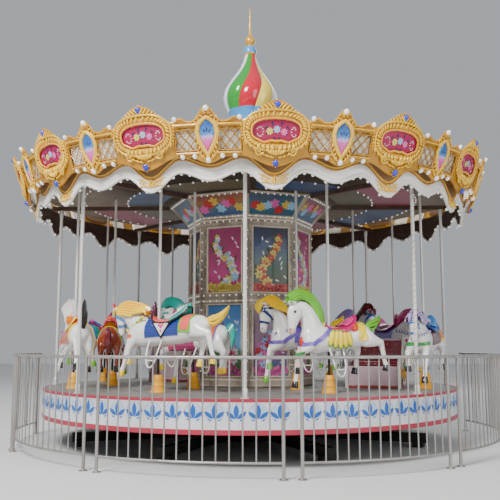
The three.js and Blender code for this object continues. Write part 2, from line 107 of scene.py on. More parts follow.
def clear_choice():
    """Leaves edit mode and deselects everything."""
    if bpy.context.mode != "OBJECT":
        bpy.ops.object.mode_set(mode="OBJECT")
    bpy.ops.object.select_all(action="DESELECT")


clear_choice()
bpy.ops.object.camera_add(location=CAMERA_PLACE, rotation=(math.radians(90 + CAMERA_TILT), 0, 0))
camera = bpy.context.object
camera.data.lens = LENS
camera.data.sensor_width = 36
bpy.context.scene.camera = camera
print("camera", camera.name, "lens", LENS)

# %% [markdown]
# Modelling by hand in Blender is a chain of small operators: add a primitive, choose faces, shape
# them, apply a modifier. These helpers keep that chain short. Each finished piece has its place
# in its mesh and its object at the origin, as the CAD nodes have.

# %% Helpers for modelling
def only(obj):
    """Makes obj the one chosen and active object."""
    clear_choice()
    obj.select_set(True)
    bpy.context.view_layer.objects.active = obj
    return obj


def settle(name, obj=None):
    """Names a new object and puts its place, turn and size into its mesh."""
    obj = only(obj or bpy.context.object)
    bpy.ops.object.transform_apply(location=True, rotation=True, scale=True)
    obj.name = name
    obj.data.name = name
    return obj


def edit(obj):
    """Goes into edit mode on obj with everything chosen."""
    only(obj)
    bpy.ops.object.mode_set(mode="EDIT")
    bpy.ops.mesh.select_all(action="SELECT")


def pick(test):
    """In edit mode, chooses only the faces whose middle and normal pass."""
    bpy.ops.mesh.select_mode(type="FACE")
    bpy.ops.mesh.select_all(action="DESELECT")
    mesh = bmesh.from_edit_mesh(bpy.context.object.data)
    for face in mesh.faces:
        face.select_set(test(face.calc_center_median(), face.normal))
    bmesh.update_edit_mesh(bpy.context.object.data)


def modify(obj, kind, **settings):
    """Adds a modifier with its settings and applies it."""
    only(obj)
    bpy.ops.object.modifier_add(type=kind)
    modifier = obj.modifiers[-1]
    for key, value in settings.items():
        setattr(modifier, key, value)
    bpy.ops.object.modifier_apply(modifier=modifier.name)
    return obj


def joined(name, parts):
    """Joins objects into the first one and names it."""
    clear_choice()
    for part in parts:
        part.select_set(True)
    bpy.context.view_layer.objects.active = parts[0]
    if len(parts) > 1:
        bpy.ops.object.join()
    return settle(name, parts[0])


def copied(obj, matrix=None):
    """A copy of obj with a mesh of its own, moved by a matrix."""
    twin = obj.copy()
    twin.data = obj.data.copy()
    bpy.context.scene.collection.objects.link(twin)
    if matrix is not None:
        twin.data.transform(matrix)
        if matrix.determinant() < 0:
            twin.data.flip_normals()
    return twin


def dropped(*objs):
    """Deletes objects that only served as patterns."""
    for obj in objs:
        bpy.data.objects.remove(obj)


def reshape(obj, rule):
    """Moves every vertex of obj to where rule(place) says."""
    for vertex in obj.data.vertices:
        vertex.co = rule(vertex.co.copy())
    obj.data.update()
    return obj


def outward(obj):
    """Merges doubles and turns the faces outwards."""
    edit(obj)
    bpy.ops.mesh.remove_doubles(threshold=1e-5)
    bpy.ops.mesh.normals_make_consistent(inside=False)
    clear_choice()
    return obj


def smooth(obj, angle):
    only(obj)
    bpy.ops.object.shade_smooth_by_angle(angle=math.radians(angle))
    return obj


def polar(radius, degrees, z=0.0):
    """The point at a radius, an angle from the front and a height."""
    turn = math.radians(degrees)
    return Vector((radius * math.sin(turn), -radius * math.cos(turn), z))


def triangles(obj):
    return sum(len(face.vertices) - 2 for face in obj.data.polygons)


def turn_z(degrees):
    return Matrix.Rotation(math.radians(degrees), 4, "Z")


def lerp(a, b, t):
    return a + (b - a) * t


def bump(t, centre, width):
    """A smooth hill of height 1 about centre that ends at centre plus or minus width."""
    return math.cos(min(1.0, abs(t - centre) / width) * math.pi / 2) ** 2

# %% [markdown]
# Three forms return everywhere on the ride. A turned form is a profile spun about the axis, as a
# whole or through a part of the circle. A tube is a path with a round section, which may taper. A
# loft is a row of rings bridged into a skin, for the limbs of the horses.

# %% Turned forms, tubes and lofts
def from_outline(name, points, closed):
    """A wire of edges through points, in edit mode and all chosen."""
    mesh = bpy.data.meshes.new(name)
    links = [(i, i + 1) for i in range(len(points) - 1)]
    if closed:
        links.append((len(points) - 1, 0))
    mesh.from_pydata([tuple(p) for p in points], links, [])
    obj = bpy.data.objects.new(name, mesh)
    bpy.context.scene.collection.objects.link(obj)
    edit(obj)
    return obj


def turned(name, profile, steps, from_angle=0.0, span=360.0, closed=False):
    """Spins a profile of (radius, height) about an upright axis, from one angle through a span."""
    start = math.radians(from_angle)
    wire = [(r * math.sin(start), -r * math.cos(start), z) for r, z in profile]
    obj = from_outline(name, wire, closed)
    bpy.ops.mesh.spin(steps=steps, angle=math.radians(span), center=(0, 0, 0), axis=(0, 0, 1))
    if closed and span < 360:
        bpy.ops.mesh.select_all(action="SELECT")
        bpy.ops.mesh.select_mode(type="EDGE")
        bpy.ops.mesh.select_non_manifold()
        bpy.ops.mesh.fill_holes(sides=0)
    return outward(obj)


def tube(name, points, radius, sides, taper=None, cyclic=False):
    """A round tube along a smooth path; taper gives a share of the radius at each point."""
    clear_choice()
    bpy.ops.curve.primitive_nurbs_path_add(location=(0, 0, 0))
    obj = bpy.context.object
    curve = obj.data
    curve.splines.clear()
    spline = curve.splines.new("POLY" if cyclic or len(points) == 2 else "NURBS")
    spline.points.add(len(points) - 1)
    for i, point in enumerate(points):
        spline.points[i].co = (*point, 1)
        spline.points[i].radius = taper[i] if taper else 1.0
    if spline.type == "NURBS":
        spline.order_u = 3
        spline.use_endpoint_u = True
        spline.resolution_u = 2
    spline.use_cyclic_u = cyclic
    curve.dimensions = "3D"
    curve.bevel_depth = radius
    curve.bevel_resolution = max(0, sides // 2 - 2)
    curve.use_fill_caps = not cyclic
    bpy.ops.object.convert(target="MESH")
    obj = settle(name)
    return smooth(outward(obj), 50)


def loft(name, stations, sides):
    """Bridges rings along x and z into a closed skin. A station is (x, y, z, wide, high)."""
    clear_choice()
    middles = [Vector(s[:3]) for s in stations]
    rings = []
    for i, (x, y, z, wide, high) in enumerate(stations):
        along = middles[min(i + 1, len(middles) - 1)] - middles[max(i - 1, 0)]
        tilt = math.atan2(along.x, along.z)
        bpy.ops.mesh.primitive_circle_add(
            vertices=sides, radius=1, fill_type="NOTHING", location=(x, y, z), rotation=(0, tilt, 0))
        bpy.context.object.scale = (high, wide, 1)
        rings.append(bpy.context.object)
    obj = joined(name, rings)
    for first in range(len(stations) - 1):
        edit(obj)
        bpy.ops.mesh.select_all(action="DESELECT")
        bpy.ops.mesh.select_mode(type="EDGE")
        mesh = bmesh.from_edit_mesh(obj.data)
        mesh.verts.ensure_lookup_table()
        span = range(first * sides, (first + 2) * sides)
        for edge in mesh.edges:
            ends = [vertex.index for vertex in edge.verts]
            same_ring = ends[0] // sides == ends[1] // sides
            edge.select_set(same_ring and ends[0] in span and ends[1] in span)
        bmesh.update_edit_mesh(obj.data)
        bpy.ops.mesh.bridge_edge_loops()
        clear_choice()
    edit(obj)
    bpy.ops.mesh.select_mode(type="EDGE")
    bpy.ops.mesh.select_all(action="DESELECT")
    bpy.ops.mesh.select_non_manifold()
    bpy.ops.mesh.edge_face_add()
    clear_choice()
    return outward(obj)


print("helpers ready")

# %% [markdown]
# Every finish on the ride is paint, and all of it is outdoors: a colour that varies a little,
# dirt that has run down in streaks, and a surface that is duller where the dirt lies. That could be
# painted in each material again, but one shader node group with named inputs keeps it the same
# everywhere, and each material sets its own colours and amounts.

# %% Colours and wiring
def tone(red, green, blue):
    """A colour of 0 to 255 as the shader's own numbers."""
    parts = [v / 255 for v in (red, green, blue)]
    return tuple(v / 12.92 if v < 0.04045 else ((v + 0.055) / 1.055) ** 2.4 for v in parts) + (1.0,)


class Wiring:
    """Adds shader nodes to a tree and links them."""

    def __init__(self, tree):
        self.tree = tree

    def add(self, kind, settings=None, **inputs):
        node = self.tree.nodes.new("ShaderNode" + kind)
        for key, value in (settings or {}).items():
            setattr(node, key, value)
        for key, value in inputs.items():
            self.feed(node.inputs[key.replace("_", " ")], value)
        return node

    def feed(self, socket, value):
        if isinstance(value, bpy.types.NodeSocket):
            self.tree.links.new(value, socket)
        else:
            socket.default_value = value

    def math(self, operation, *values):
        node = self.add("Math", {"operation": operation})
        for socket, value in zip(node.inputs, values):
            self.feed(socket, value)
        return node.outputs[0]

    def mix(self, share, first, second, how="MIX"):
        node = self.add("Mix", {"data_type": "RGBA", "blend_type": how})
        self.feed(node.inputs[0], share)
        self.feed(node.inputs[6], first)
        self.feed(node.inputs[7], second)
        return node.outputs[2]

    def between(self, value, low, high):
        """0 below low, 1 above high, smooth between."""
        node = self.add("MapRange", {"interpolation_type": "SMOOTHSTEP"}, Value=value)
        self.feed(node.inputs["From Min"], low)
        self.feed(node.inputs["From Max"], high)
        return node.outputs[0]

    def ramp(self, share, stops):
        """A colour ramp with stops of a place and a colour of 0 to 255."""
        node = self.add("ValToRGB", Fac=share)
        marks = node.color_ramp.elements
        while len(marks) < len(stops):
            marks.new(0.5)
        for mark, (place, colour) in zip(marks, stops):
            mark.position = place
            mark.color = tone(*colour)
        return node.outputs[0]

    def place(self, scale=(1, 1, 1)):
        coordinates = self.add("TexCoord").outputs["Object"]
        return self.add("Mapping", Vector=coordinates, Scale=scale).outputs[0]

    def noise(self, where, scale, detail):
        return self.add("TexNoise", Vector=where, Scale=scale, Detail=detail).outputs[0]


def group(name, inputs, outputs):
    """A new shader node group with its sockets; returns its wiring, its inputs and its exit."""
    tree = bpy.data.node_groups.new(name, "ShaderNodeTree")
    kinds = {float: "NodeSocketFloat", tuple: "NodeSocketColor"}
    for label, start in inputs.items():
        socket = tree.interface.new_socket(label, in_out="INPUT", socket_type=kinds[type(start)])
        socket.default_value = start
    for label, kind in outputs.items():
        tree.interface.new_socket(label, in_out="OUTPUT", socket_type=kinds[kind])
    entry = tree.nodes.new("NodeGroupInput")
    leave = tree.nodes.new("NodeGroupOutput")
    return Wiring(tree), entry.outputs, leave.inputs

# %% The weathering group
wires, given, result = group(
    "weathering",
    {
        "Paint": tone(200, 200, 200),
        "Dirt": tone(90, 80, 70),
        "Scale": 4.0,
        "Amount": 0.3,
        "Roughness": 0.4,
    },
    {"Colour": tuple, "Roughness": float, "Height": float})
runs = wires.noise(wires.place((1, 1, 0.25)), given["Scale"], 4)
grain = wires.noise(wires.place(), wires.math("MULTIPLY", given["Scale"], 9.0), 5)
both = wires.math("ADD", wires.math("MULTIPLY", runs, 0.65), wires.math("MULTIPLY", grain, 0.35))
grime = wires.math("MULTIPLY", wires.between(both, 0.42, 0.72), given["Amount"])
shade = wires.math("ADD", 0.9, wires.math("MULTIPLY", wires.noise(wires.place(), 2.3, 2), 0.2))
shaded = wires.mix(1.0, given["Paint"], shade, "MULTIPLY")
wires.feed(result["Colour"], wires.mix(grime, shaded, given["Dirt"]))
wires.feed(
    result["Roughness"], wires.math("ADD", given["Roughness"], wires.math("MULTIPLY", grime, 0.35)))
wires.feed(result["Height"], wires.math("ADD", wires.math("MULTIPLY", grain, 0.7), grime))
print("group weathering", len(wires.tree.nodes), "nodes")

# %% Painted finishes
DIRT = (112, 100, 84)
PAINTS = {}


def finish(name, roughness=0.4, metallic=0.0, coat=0.0):
    """A new material in PAINTS; returns its wiring and its Principled shader."""
    material = bpy.data.materials.new(name)
    PAINTS[name] = material
    material.use_nodes = True
    wires = Wiring(material.node_tree)
    shader = material.node_tree.nodes["Principled BSDF"]
    for socket, value in (("Roughness", roughness), ("Metallic", metallic), ("Coat Weight", coat)):
        shader.inputs[socket].default_value = value
    return wires, shader


def weather(wires, shader, paint, roughness, dirt=DIRT, amount=0.3, scale=4.0, depth=0.0006):
    """Puts the weathering group between a paint colour and the shader."""
    node = wires.add(
        "Group", {"node_tree": bpy.data.node_groups["weathering"]}, Paint=paint, Dirt=tone(*dirt),
        Scale=scale, Amount=amount, Roughness=roughness)
    wires.feed(shader.inputs["Base Color"], node.outputs["Colour"])
    wires.feed(shader.inputs["Roughness"], node.outputs["Roughness"])
    relief = wires.add("Bump", Height=node.outputs["Height"], Distance=depth, Strength=0.5)
    wires.feed(shader.inputs["Normal"], relief.outputs[0])


def painted(name, colour, roughness, metallic=0.0, coat=0.0, **more):
    wires, shader = finish(name, roughness, metallic, coat)
    weather(wires, shader, tone(*colour), roughness, **more)


painted("white_gloss", (232, 229, 220), 0.22, coat=0.3, amount=0.18)
painted("white_post", (214, 212, 206), 0.25, 0.15, coat=0.2, amount=0.22, scale=7.0)
painted("white_board", (220, 222, 226), 0.4, amount=0.3, scale=3.0)
painted("band_red", (176, 42, 66), 0.35, amount=0.25)
painted("motif_blue", (24, 92, 178), 0.4, amount=0.15, scale=9.0)
painted("motif_pale", (176, 206, 232), 0.4, amount=0.12)
painted("galvanised", (164, 162, 158), 0.4, 0.65, dirt=(112, 78, 54), amount=0.45, scale=9.0)
painted("deck_metal", (150, 148, 144), 0.5, 0.45, dirt=(92, 84, 76), amount=0.6, scale=5.0)
# Near-black steel under the deck: dark paint, and partly painted shade where the deck shades it.
painted("dark_steel", (38, 36, 34), 0.7, 0.3, dirt=(74, 62, 50), amount=0.4)
painted("boot_yellow", (238, 166, 6), 0.45, dirt=(140, 96, 40), amount=0.55, scale=11.0)
painted("rod_dark", (46, 42, 40), 0.35, 0.8, dirt=(90, 66, 44), amount=0.5, scale=12.0)
painted("marble_beige", (176, 164, 146), 0.4, dirt=(84, 72, 60), amount=0.75, scale=7.0)
painted("cream", (236, 226, 202), 0.32, coat=0.2, amount=0.32)
painted("blue_ball", (26, 52, 190), 0.12, coat=0.6, amount=0.08)
painted("roof_sheet", (170, 158, 140), 0.55, amount=0.6, scale=2.0)
painted("gold_bright", (226, 170, 58), 0.28, 0.35, coat=0.3, amount=0.2)


def bulb_finish():
    """Milky lamp glass that shines a little by itself."""
    wires, shader = finish("bulb_white", 0.12, coat=0.4)
    glow = wires.between(wires.noise(wires.place(), 3.0, 1), 0.3, 0.7)
    wires.feed(shader.inputs["Base Color"], wires.mix(glow, tone(255, 252, 244), tone(228, 230, 234)))
    shader.inputs["Emission Color"].default_value = tone(255, 250, 240)
    shader.inputs["Emission Strength"].default_value = 0.35


bulb_finish()


def give(obj, *paints):
    """Gives obj these materials in order, in place of any that it has."""
    obj.data.materials.clear()
    for paint in paints:
        obj.data.materials.append(PAINTS[paint])
    return obj


print(len(PAINTS), "paints")

# %% [markdown]
# A stage for the ride: a plain pale floor, a soft sky and three wide lamps. Nothing here belongs
# to the object.

# %% Floor and light
clear_choice()
bpy.ops.mesh.primitive_plane_add(size=90)
floor = settle("floor")
edit(floor)
bpy.ops.mesh.subdivide(number_cuts=4)
clear_choice()
wires, shader = finish("floor_paper", 0.85)
wires.feed(shader.inputs["Base Color"], wires.mix(
    wires.noise(wires.place(), 0.4, 2), tone(214, 213, 210), tone(224, 223, 221)))
give(floor, "floor_paper")

world = bpy.data.worlds.new("soft_sky")
bpy.context.scene.world = world
world.use_nodes = True
world.node_tree.nodes["Background"].inputs[0].default_value = tone(232, 238, 246)
world.node_tree.nodes["Background"].inputs[1].default_value = 0.52


def soft_lamp(name, place, aim, size, power):
    clear_choice()
    bpy.ops.object.light_add(type="AREA", location=place)
    lamp = bpy.context.object
    lamp.name = name
    lamp.data.size = size
    lamp.data.energy = power
    lamp.rotation_euler = (Vector(aim) - Vector(place)).to_track_quat("-Z", "Y").to_euler()


soft_lamp("key_lamp", (-7, -12, 12), (0, 0, 1.8), 5, 4000)
soft_lamp("fill_lamp", (9, -10, 5), (0, 0, 2), 8, 650)
soft_lamp("back_lamp", (2, 12, 10), (0, 0, 2), 8, 600)
print("floor, sky and three lamps")

# %% [markdown]
# The platform is a round steel deck on beams, with worn metal plates screwed on top. One wedge
# plate is modelled and copied round, because the real floor is cut the same way: a strip is spun
# through its angle, given its thickness and a small bevel, so that the joints show as lines.

# %% Deck plates and beams
PLATES = 16
HORSES = [
    ("horse_01", 2.2, -31.5, 0.12, "low", "stretched"),
    ("horse_02", 2.2, 26.5, 0.01, "arched", "stretched"),
    ("horse_03", 1.3, -36.6, 0.005, "arched", "gathered"),
    ("horse_04", 1.3, 29.5, 0.04, "arched", "gathered"),
    ("horse_05", 2.62, 65, 0.03, "low", "gathered"),
    ("horse_06", 2.62, 113.5, 0.09, "low", "gathered"),
    ("horse_07", 2.62, 147, 0.02, "arched", "stretched"),
    ("horse_08", 2.62, -147, 0.13, "arched", "gathered"),
    ("horse_09", 2.05, -84, 0.01, "low", "gathered"),
    ("horse_10", 2.62, -113.5, 0.05, "arched", "stretched"),
    ("horse_11", 2.62, -67, 0.03, "arched", "stretched"),
    ("horse_12", 1.8, 111, 0.03, "arched", "gathered"),
]
LIFT_LOW = 0.68
EDGE = DECK_RADIUS - 0.031


def deck_plate(inner, outer, index, count):
    plate = turned("plate", [(inner, DECK_TOP), (outer, DECK_TOP)], steps=8,
                   from_angle=SKIRT_PHASE + index * 360 / count + 0.06, span=360 / count - 0.12)
    modify(plate, "SOLIDIFY", thickness=0.006, offset=-1)
    upper = [face for face in plate.data.polygons if face.center.z > DECK_TOP - SEAT]
    if sum(face.normal.z * face.area for face in upper) < 0:
        plate.data.flip_normals()
    return modify(plate, "BEVEL", width=0.0015, segments=1, limit_method="ANGLE")


plates = [deck_plate(0.9, 1.95, i, PLATES // 2) for i in range(PLATES // 2)]
plates += [deck_plate(1.952, EDGE, i, PLATES) for i in range(PLATES)]
under = turned("under", [(0.3, 0.769), (EDGE, 0.769), (EDGE, 0.718), (0.62, 0.718), (0.6, 0.7),
                         (0.5, 0.622), (0.3, 0.622)], steps=96, closed=True)
beams = []
for i in range(SECTORS):
    clear_choice()
    bpy.ops.mesh.primitive_cube_add(location=(0, -1.65, 0.684), scale=(0.04, 1.2, 0.034))
    beam = settle("beam")
    edit(beam)
    pick(lambda place, normal: abs(normal.x) > 0.9)
    bpy.ops.mesh.inset(thickness=0.008, depth=-0.03, use_individual=True)
    clear_choice()
    beam.data.transform(turn_z(POST_PHASE + SECTOR * i))
    beams.append(beam)
# The underside and the beams get the near-black steel paint, partly painted shade under the deck.
for part in [under] + beams:
    give(part, "dark_steel")
for plate in plates:
    give(plate, "deck_metal")
deck = joined("deck_plates", plates + [under] + beams)
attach(deck, "turntable")
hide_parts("deck")
print("deck plates", len(plates), "triangles", len(deck.data.polygons))

# %% [markdown]
# Each horse's rod comes out of a yellow boot with a turned-in lip and a flange. It is a turned
# form: one profile spun about the rod, then copied to every rod. The bore stays open.

# %% Yellow boots
BOOT = [
    (0.0185, 0.0), (0.097, 0.0), (0.097, 0.012), (0.09, 0.018), (0.086, 0.03), (0.078, 0.085),
    (0.08, 0.092), (0.0765, 0.099), (0.067, 0.16), (0.069, 0.167), (0.0655, 0.174), (0.058, 0.212),
    (0.053, 0.219), (0.03, 0.219), (0.0185, 0.212)]
boot_pattern = turned("boot", BOOT, steps=24, closed=True)
smooth(give(boot_pattern, "boot_yellow"), 40)
boots = [copied(boot_pattern, Matrix.Translation(polar(ring, angle, DECK_TOP + SEAT)))
         for _, ring, angle, *_ in HORSES]
dropped(boot_pattern)
boots = joined("rod_boots", boots)
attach(boots, "turntable")
print("boots", len(HORSES), "faces", len(boots.data.polygons))

# %% [markdown]
# The skirt is a white printed board in four lengths, with a thin red rim, a red foot band and a row
# of blue leaves in thin rings. The print could be a pattern in the shader, but leaves that are thin
# inlays stay sharp in every view and in the mesh itself. One leaf is a circle pulled into a
# point at both ends. It is copied, turned and laid on the curve.

# %% One motif of the skirt
MOTIFS = 19
MOTIF_GAP = 0.2418
LINE_STEPS = 22


def inlay(name, paint, points, lift):
    """A thin flat tile of an outline in x and z, standing out towards -Y by lift."""
    obj = from_outline(name, [(x, 0, z) for x, z in points], closed=True)
    bpy.ops.mesh.edge_face_add()
    bpy.ops.mesh.extrude_region_move(TRANSFORM_OT_translate={"value": (0, -lift, 0)})
    clear_choice()
    return give(outward(obj), paint)


def leaf(name, paint, length, half, lift, steps=6):
    """A leaf from the origin upwards: two arcs that meet at both tips."""
    side = [(half * math.sin(math.pi * i / steps) ** 0.8, length * i / steps) for i in range(steps + 1)]
    return inlay(name, paint, side + [(-x, z) for x, z in reversed(side[1:-1])], lift)


print("tiles are", MOTIF_GAP, "m apart")

# %% Laying tiles in a motif
def laid(obj, x, z, degrees=0.0, size=1.0):
    """A copy of a flat tile, turned in its plane and moved to x and z."""
    turn = Matrix.Rotation(math.radians(degrees), 4, "Y")
    return copied(obj, Matrix.Translation((x, 0, z)) @ turn @ Matrix.Scale(size, 4))


def ring_line(name, paint, radius, width, lift, start, end):
    """A flat line along a part of a circle."""
    def spot(r, i):
        turn = math.radians(lerp(start, end, i / LINE_STEPS))
        return (r * math.sin(turn), r * math.cos(turn))
    outer = [spot(radius, i) for i in range(LINE_STEPS + 1)]
    inner = [spot(radius - width, i) for i in range(LINE_STEPS + 1)]
    return inlay(name, paint, outer + inner[::-1], lift)


def skirt_motif():
    blade = leaf("blade", "motif_blue", 0.165, 0.03, 0.0022)
    pale = leaf("pale", "motif_pale", 0.15, 0.05, 0.0012)
    line = ring_line("line", "motif_blue", 0.103, 0.0035, 0.0012, -128, 128)
    mark = leaf("mark", "motif_blue", 0.05, 0.008, 0.0018)
    parts = [
        laid(blade, 0, 0.558), laid(blade, -0.012, 0.562, -52, 0.78), laid(blade, 0.012, 0.562, 52, 0.78),
        laid(pale, 0, 0.57, -24), laid(pale, 0, 0.57, 24), laid(line, 0, 0.626),
        laid(mark, -0.035, 0.538, -60), laid(mark, 0.035, 0.538, 60)]
    dropped(blade, pale, line, mark)
    return joined("motif", parts)


motif = skirt_motif()
print("motif faces", len(motif.data.polygons))

# %% Skirt boards
SKIRT_FACE = DECK_RADIUS - 0.004
SKIRT_BACK = DECK_RADIUS - 0.026
LIP = 0.004
BAND = 0.057
BOARD_JOINT = 0.04
BOARD_SPAN = 90 - 2 * BOARD_JOINT


def on_skirt(angle):
    """Wraps flat x, y, z onto the skirt's face about an angle."""
    def rule(place):
        return polar(SKIRT_FACE - place.y, angle + math.degrees(place.x / DECK_RADIUS), place.z)
    return rule


def skirt_strip(name, paint, start, profile):
    strip = turned(name, profile, steps=60, from_angle=start, span=BOARD_SPAN, closed=True)
    return give(strip, paint)


def skirt_board(index):
    start = SKIRT_PHASE + index * 90 + BOARD_JOINT
    face, back, low = SKIRT_FACE, SKIRT_BACK, SKIRT_BOTTOM
    parts = [
        skirt_strip("board", "white_board", start, [
            (back, low + LIP), (face, low + LIP), (face, DECK_TOP - LIP), (back, DECK_TOP - LIP)]),
        skirt_strip("rim", "band_red", start, [
            (back, DECK_TOP - 0.035), (face + LIP, DECK_TOP - 0.033), (face + LIP, DECK_TOP - 0.003),
            (face + 0.001, DECK_TOP), (back, DECK_TOP)]),
        skirt_strip("foot", "band_red", start, [
            (back, low), (face + 0.002, low), (face + LIP, low + LIP), (face + LIP, low + BAND - 0.003),
            (face + 0.001, low + BAND), (back, low + BAND)])]
    middle = start + BOARD_SPAN / 2
    for i in range(MOTIFS):
        angle = middle + math.degrees((i - (MOTIFS - 1) / 2) * MOTIF_GAP / DECK_RADIUS)
        parts.append(reshape(copied(motif), on_skirt(angle)))
    piece = joined(f"skirt_board_{index + 1}", parts)
    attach(piece, "turntable")
    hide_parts(f"skirt_{index + 1}")
    return piece


skirts = [skirt_board(i) for i in range(4)]
dropped(motif)
print("skirt boards", len(skirts), "faces each", len(skirts[0].data.polygons))

# %% [markdown]
# Eight slim posts carry the crown. Each is a tube with a bolted foot plate, a sleeve at the foot and
# a collar under the rib. One of them is wound with a twisted strip. A post is turned
# once and copied; the twisted strip is a tube along a helix.

# %% Posts
POST_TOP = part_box("post_1")[1].z
POST_RADIUS = 0.0235
PLATE_TOP = DECK_TOP + 0.013
BOLT_RADIUS = 0.005


def post_pattern():
    shaft = turned("post", [(0, DECK_TOP + SEAT), (0.053, DECK_TOP + SEAT), (0.053, DECK_TOP + 0.009),
                            (0.05, DECK_TOP + 0.012), (0.032, PLATE_TOP), (0.032, 0.88), (0.028, 0.885),
                            (POST_RADIUS, 0.888), (POST_RADIUS, 3.33), (0.028, 3.34), (0.033, 3.4),
                            (0.033, POST_TOP), (0, POST_TOP)], steps=20)
    parts = [give(shaft, "white_post")]
    for i in range(4):
        clear_choice()
        place = polar(0.042, 45 + 90 * i, PLATE_TOP)
        bpy.ops.mesh.primitive_cylinder_add(vertices=6, radius=BOLT_RADIUS, depth=0.006, location=place)
        bolt = settle("bolt")
        modify(bolt, "BEVEL", width=0.0008, segments=1)
        parts.append(give(bolt, "galvanised"))
    return smooth(joined("post", parts), 40)


pattern = post_pattern()
HELIX = [
    (POST_RADIUS * math.cos(i * 0.9), POST_RADIUS * math.sin(i * 0.9), 0.9 + 0.011 * i)
    for i in range(221)]
for i in range(SECTORS):
    parts = [copied(pattern)]
    if i == 1:
        parts.append(give(tube("strip", HELIX, 0.0035, 6), "rod_dark"))
    piece = joined(f"crown_post_{i + 1}", parts)
    piece.data.transform(Matrix.Translation(polar(POST_RING, POST_PHASE + SECTOR * i)))
    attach(piece, "turntable")
    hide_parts(f"post_{i + 1}")
dropped(pattern)
print("posts", SECTORS)

# %% [markdown]
# The crown is moulded fibreglass, and its pattern repeats fourteen times: an oval picture in a
# shell frame, two lattice fields and a pointed shield. So one period is modelled flat, with x along
# the rim, z up and the relief towards -Y, and is then wrapped onto the leaning face of each board.
# Where the pattern stands high the gold is painted light as a painted highlight, and the hollows are
# painted
# dark brown as painted shade: each vertex keeps its height over the sheet in an attribute, which the gold
# paint reads.

# %% Gold paint that follows the relief
REACH = 3.4
HALF = math.radians(PERIOD) * REACH / 2
OVAL = (0.272, 0.125)
OVAL_MIDDLE = 3.684
OVAL_STEPS = 44


def top_edge(t):
    return 3.8 + 0.2 * bump(t, 0, 0.5) + 0.04 * bump(t, 0.6, 0.12) + 0.15 * bump(t, 1, 0.22)


def low_edge(t):
    return 3.42 - 0.11 * bump(t, 0, 0.5) - 0.07 * bump(t, 1, 0.3)


def valance_edge(t):
    return 3.285 - 0.205 * bump(t, 0, 0.5) - 0.105 * bump(t, 1, 0.5)


def gilded(name, deep, middle, high):
    """Paint whose colour follows the attribute named relief, from 0 in hollows to 1 on tops: dark brown in
    the hollows is painted shade and light gold on the tops is painted highlight.
    """
    wires, shader = finish(name, 0.38, 0.12, coat=0.25)
    relief = wires.add("Attribute", {"attribute_name": "relief"}).outputs["Fac"]
    speck = wires.math("MULTIPLY", wires.noise(wires.place(), 38.0, 3), 0.24)
    share = wires.math("ADD", wires.math("SUBTRACT", relief, 0.12), speck)
    paint = wires.ramp(share, [(0.0, deep), (0.45, middle), (0.95, high)])
    weather(wires, shader, paint, 0.38, dirt=(96, 62, 30), amount=0.3, scale=6.0)


# Each gold runs from the painted shade of its hollows, over its own colour, to the painted highlight of
# its tops.
gilded("gold_relief", (88, 52, 6), (206, 146, 18), (255, 210, 66))
gilded("cream_relief", (110, 66, 10), (220, 152, 30), (255, 222, 104))
gilded("rust_relief", (76, 40, 6), (146, 88, 12), (214, 150, 40))
painted("peach_rim", (236, 166, 44), 0.3, coat=0.3, amount=0.2)
painted("magenta_field", (160, 0, 70), 0.5, amount=0.12, scale=8.0)
painted("petal_yellow", (216, 200, 92), 0.35, amount=0.1)
painted("petal_blue", (140, 190, 226), 0.35, amount=0.1)
painted("petal_pink", (220, 92, 168), 0.35, amount=0.1)
painted("petal_white", (236, 228, 232), 0.35, amount=0.1)
painted("leaf_dark", (34, 40, 84), 0.4, amount=0.1)
painted("recess", (138, 96, 50), 0.55, amount=0.6, scale=7.0)
painted("inside_brown", (70, 44, 34), 0.6, amount=0.4)
painted("lattice_cream", (216, 206, 184), 0.45, amount=0.45, scale=12.0)


def gem_finish():
    """The shield's gem: blue at the top, pale lilac in the middle, pink at the point."""
    wires, shader = finish("gem", 0.25, coat=0.5)
    height = wires.add("SeparateXYZ", Vector=wires.add("TexCoord").outputs["Object"]).outputs["Z"]
    share = wires.between(height, 3.48, 3.79)
    wave = wires.math("MULTIPLY", wires.noise(wires.place((1, 1, 0.6)), 26.0, 2), 0.22)
    mixed = wires.math("ADD", wires.math("SUBTRACT", share, 0.11), wave)
    stops = [(0.0, (206, 60, 150)), (0.3, (214, 96, 178)), (0.47, (196, 170, 214)),
             (0.58, (60, 130, 196)), (1.0, (18, 84, 160))]
    weather(wires, shader, wires.ramp(mixed, stops), 0.25, amount=0.08)


gem_finish()
print("half a period is", round(HALF, 3), "m;", len(PAINTS), "paints")

# %% Small patterns
def lobe_pattern(name, segments=8, rings=6):
    """A ball of radius 1 at the origin."""
    clear_choice()
    bpy.ops.mesh.primitive_uv_sphere_add(segments=segments, ring_count=rings, radius=1)
    return smooth(settle(name), 180)


def stamp(pattern, paint, at, size, degrees=0.0, point=0.0):
    """A copy of the ball as a lobe at (x, relief, z), sized, turned in the plane and pointed."""
    obj = copied(pattern)
    for vertex in obj.data.vertices:
        pinch = 1 - point * max(0.0, vertex.co.z)
        vertex.co = Vector((
            vertex.co.x * pinch * size[0], vertex.co.y * pinch * size[1], vertex.co.z * size[2]))
    obj.data.transform(
        Matrix.Translation((at[0], -at[1], at[2])) @ Matrix.Rotation(math.radians(degrees), 4, "Y"))
    return give(obj, paint)


def rod_between(name, paint, points, radius, sides, taper=None, cyclic=False):
    """A tube through (x, relief, z) points."""
    return give(tube(name, [(x, -lift, z) for x, lift, z in points], radius, sides, taper, cyclic), paint)


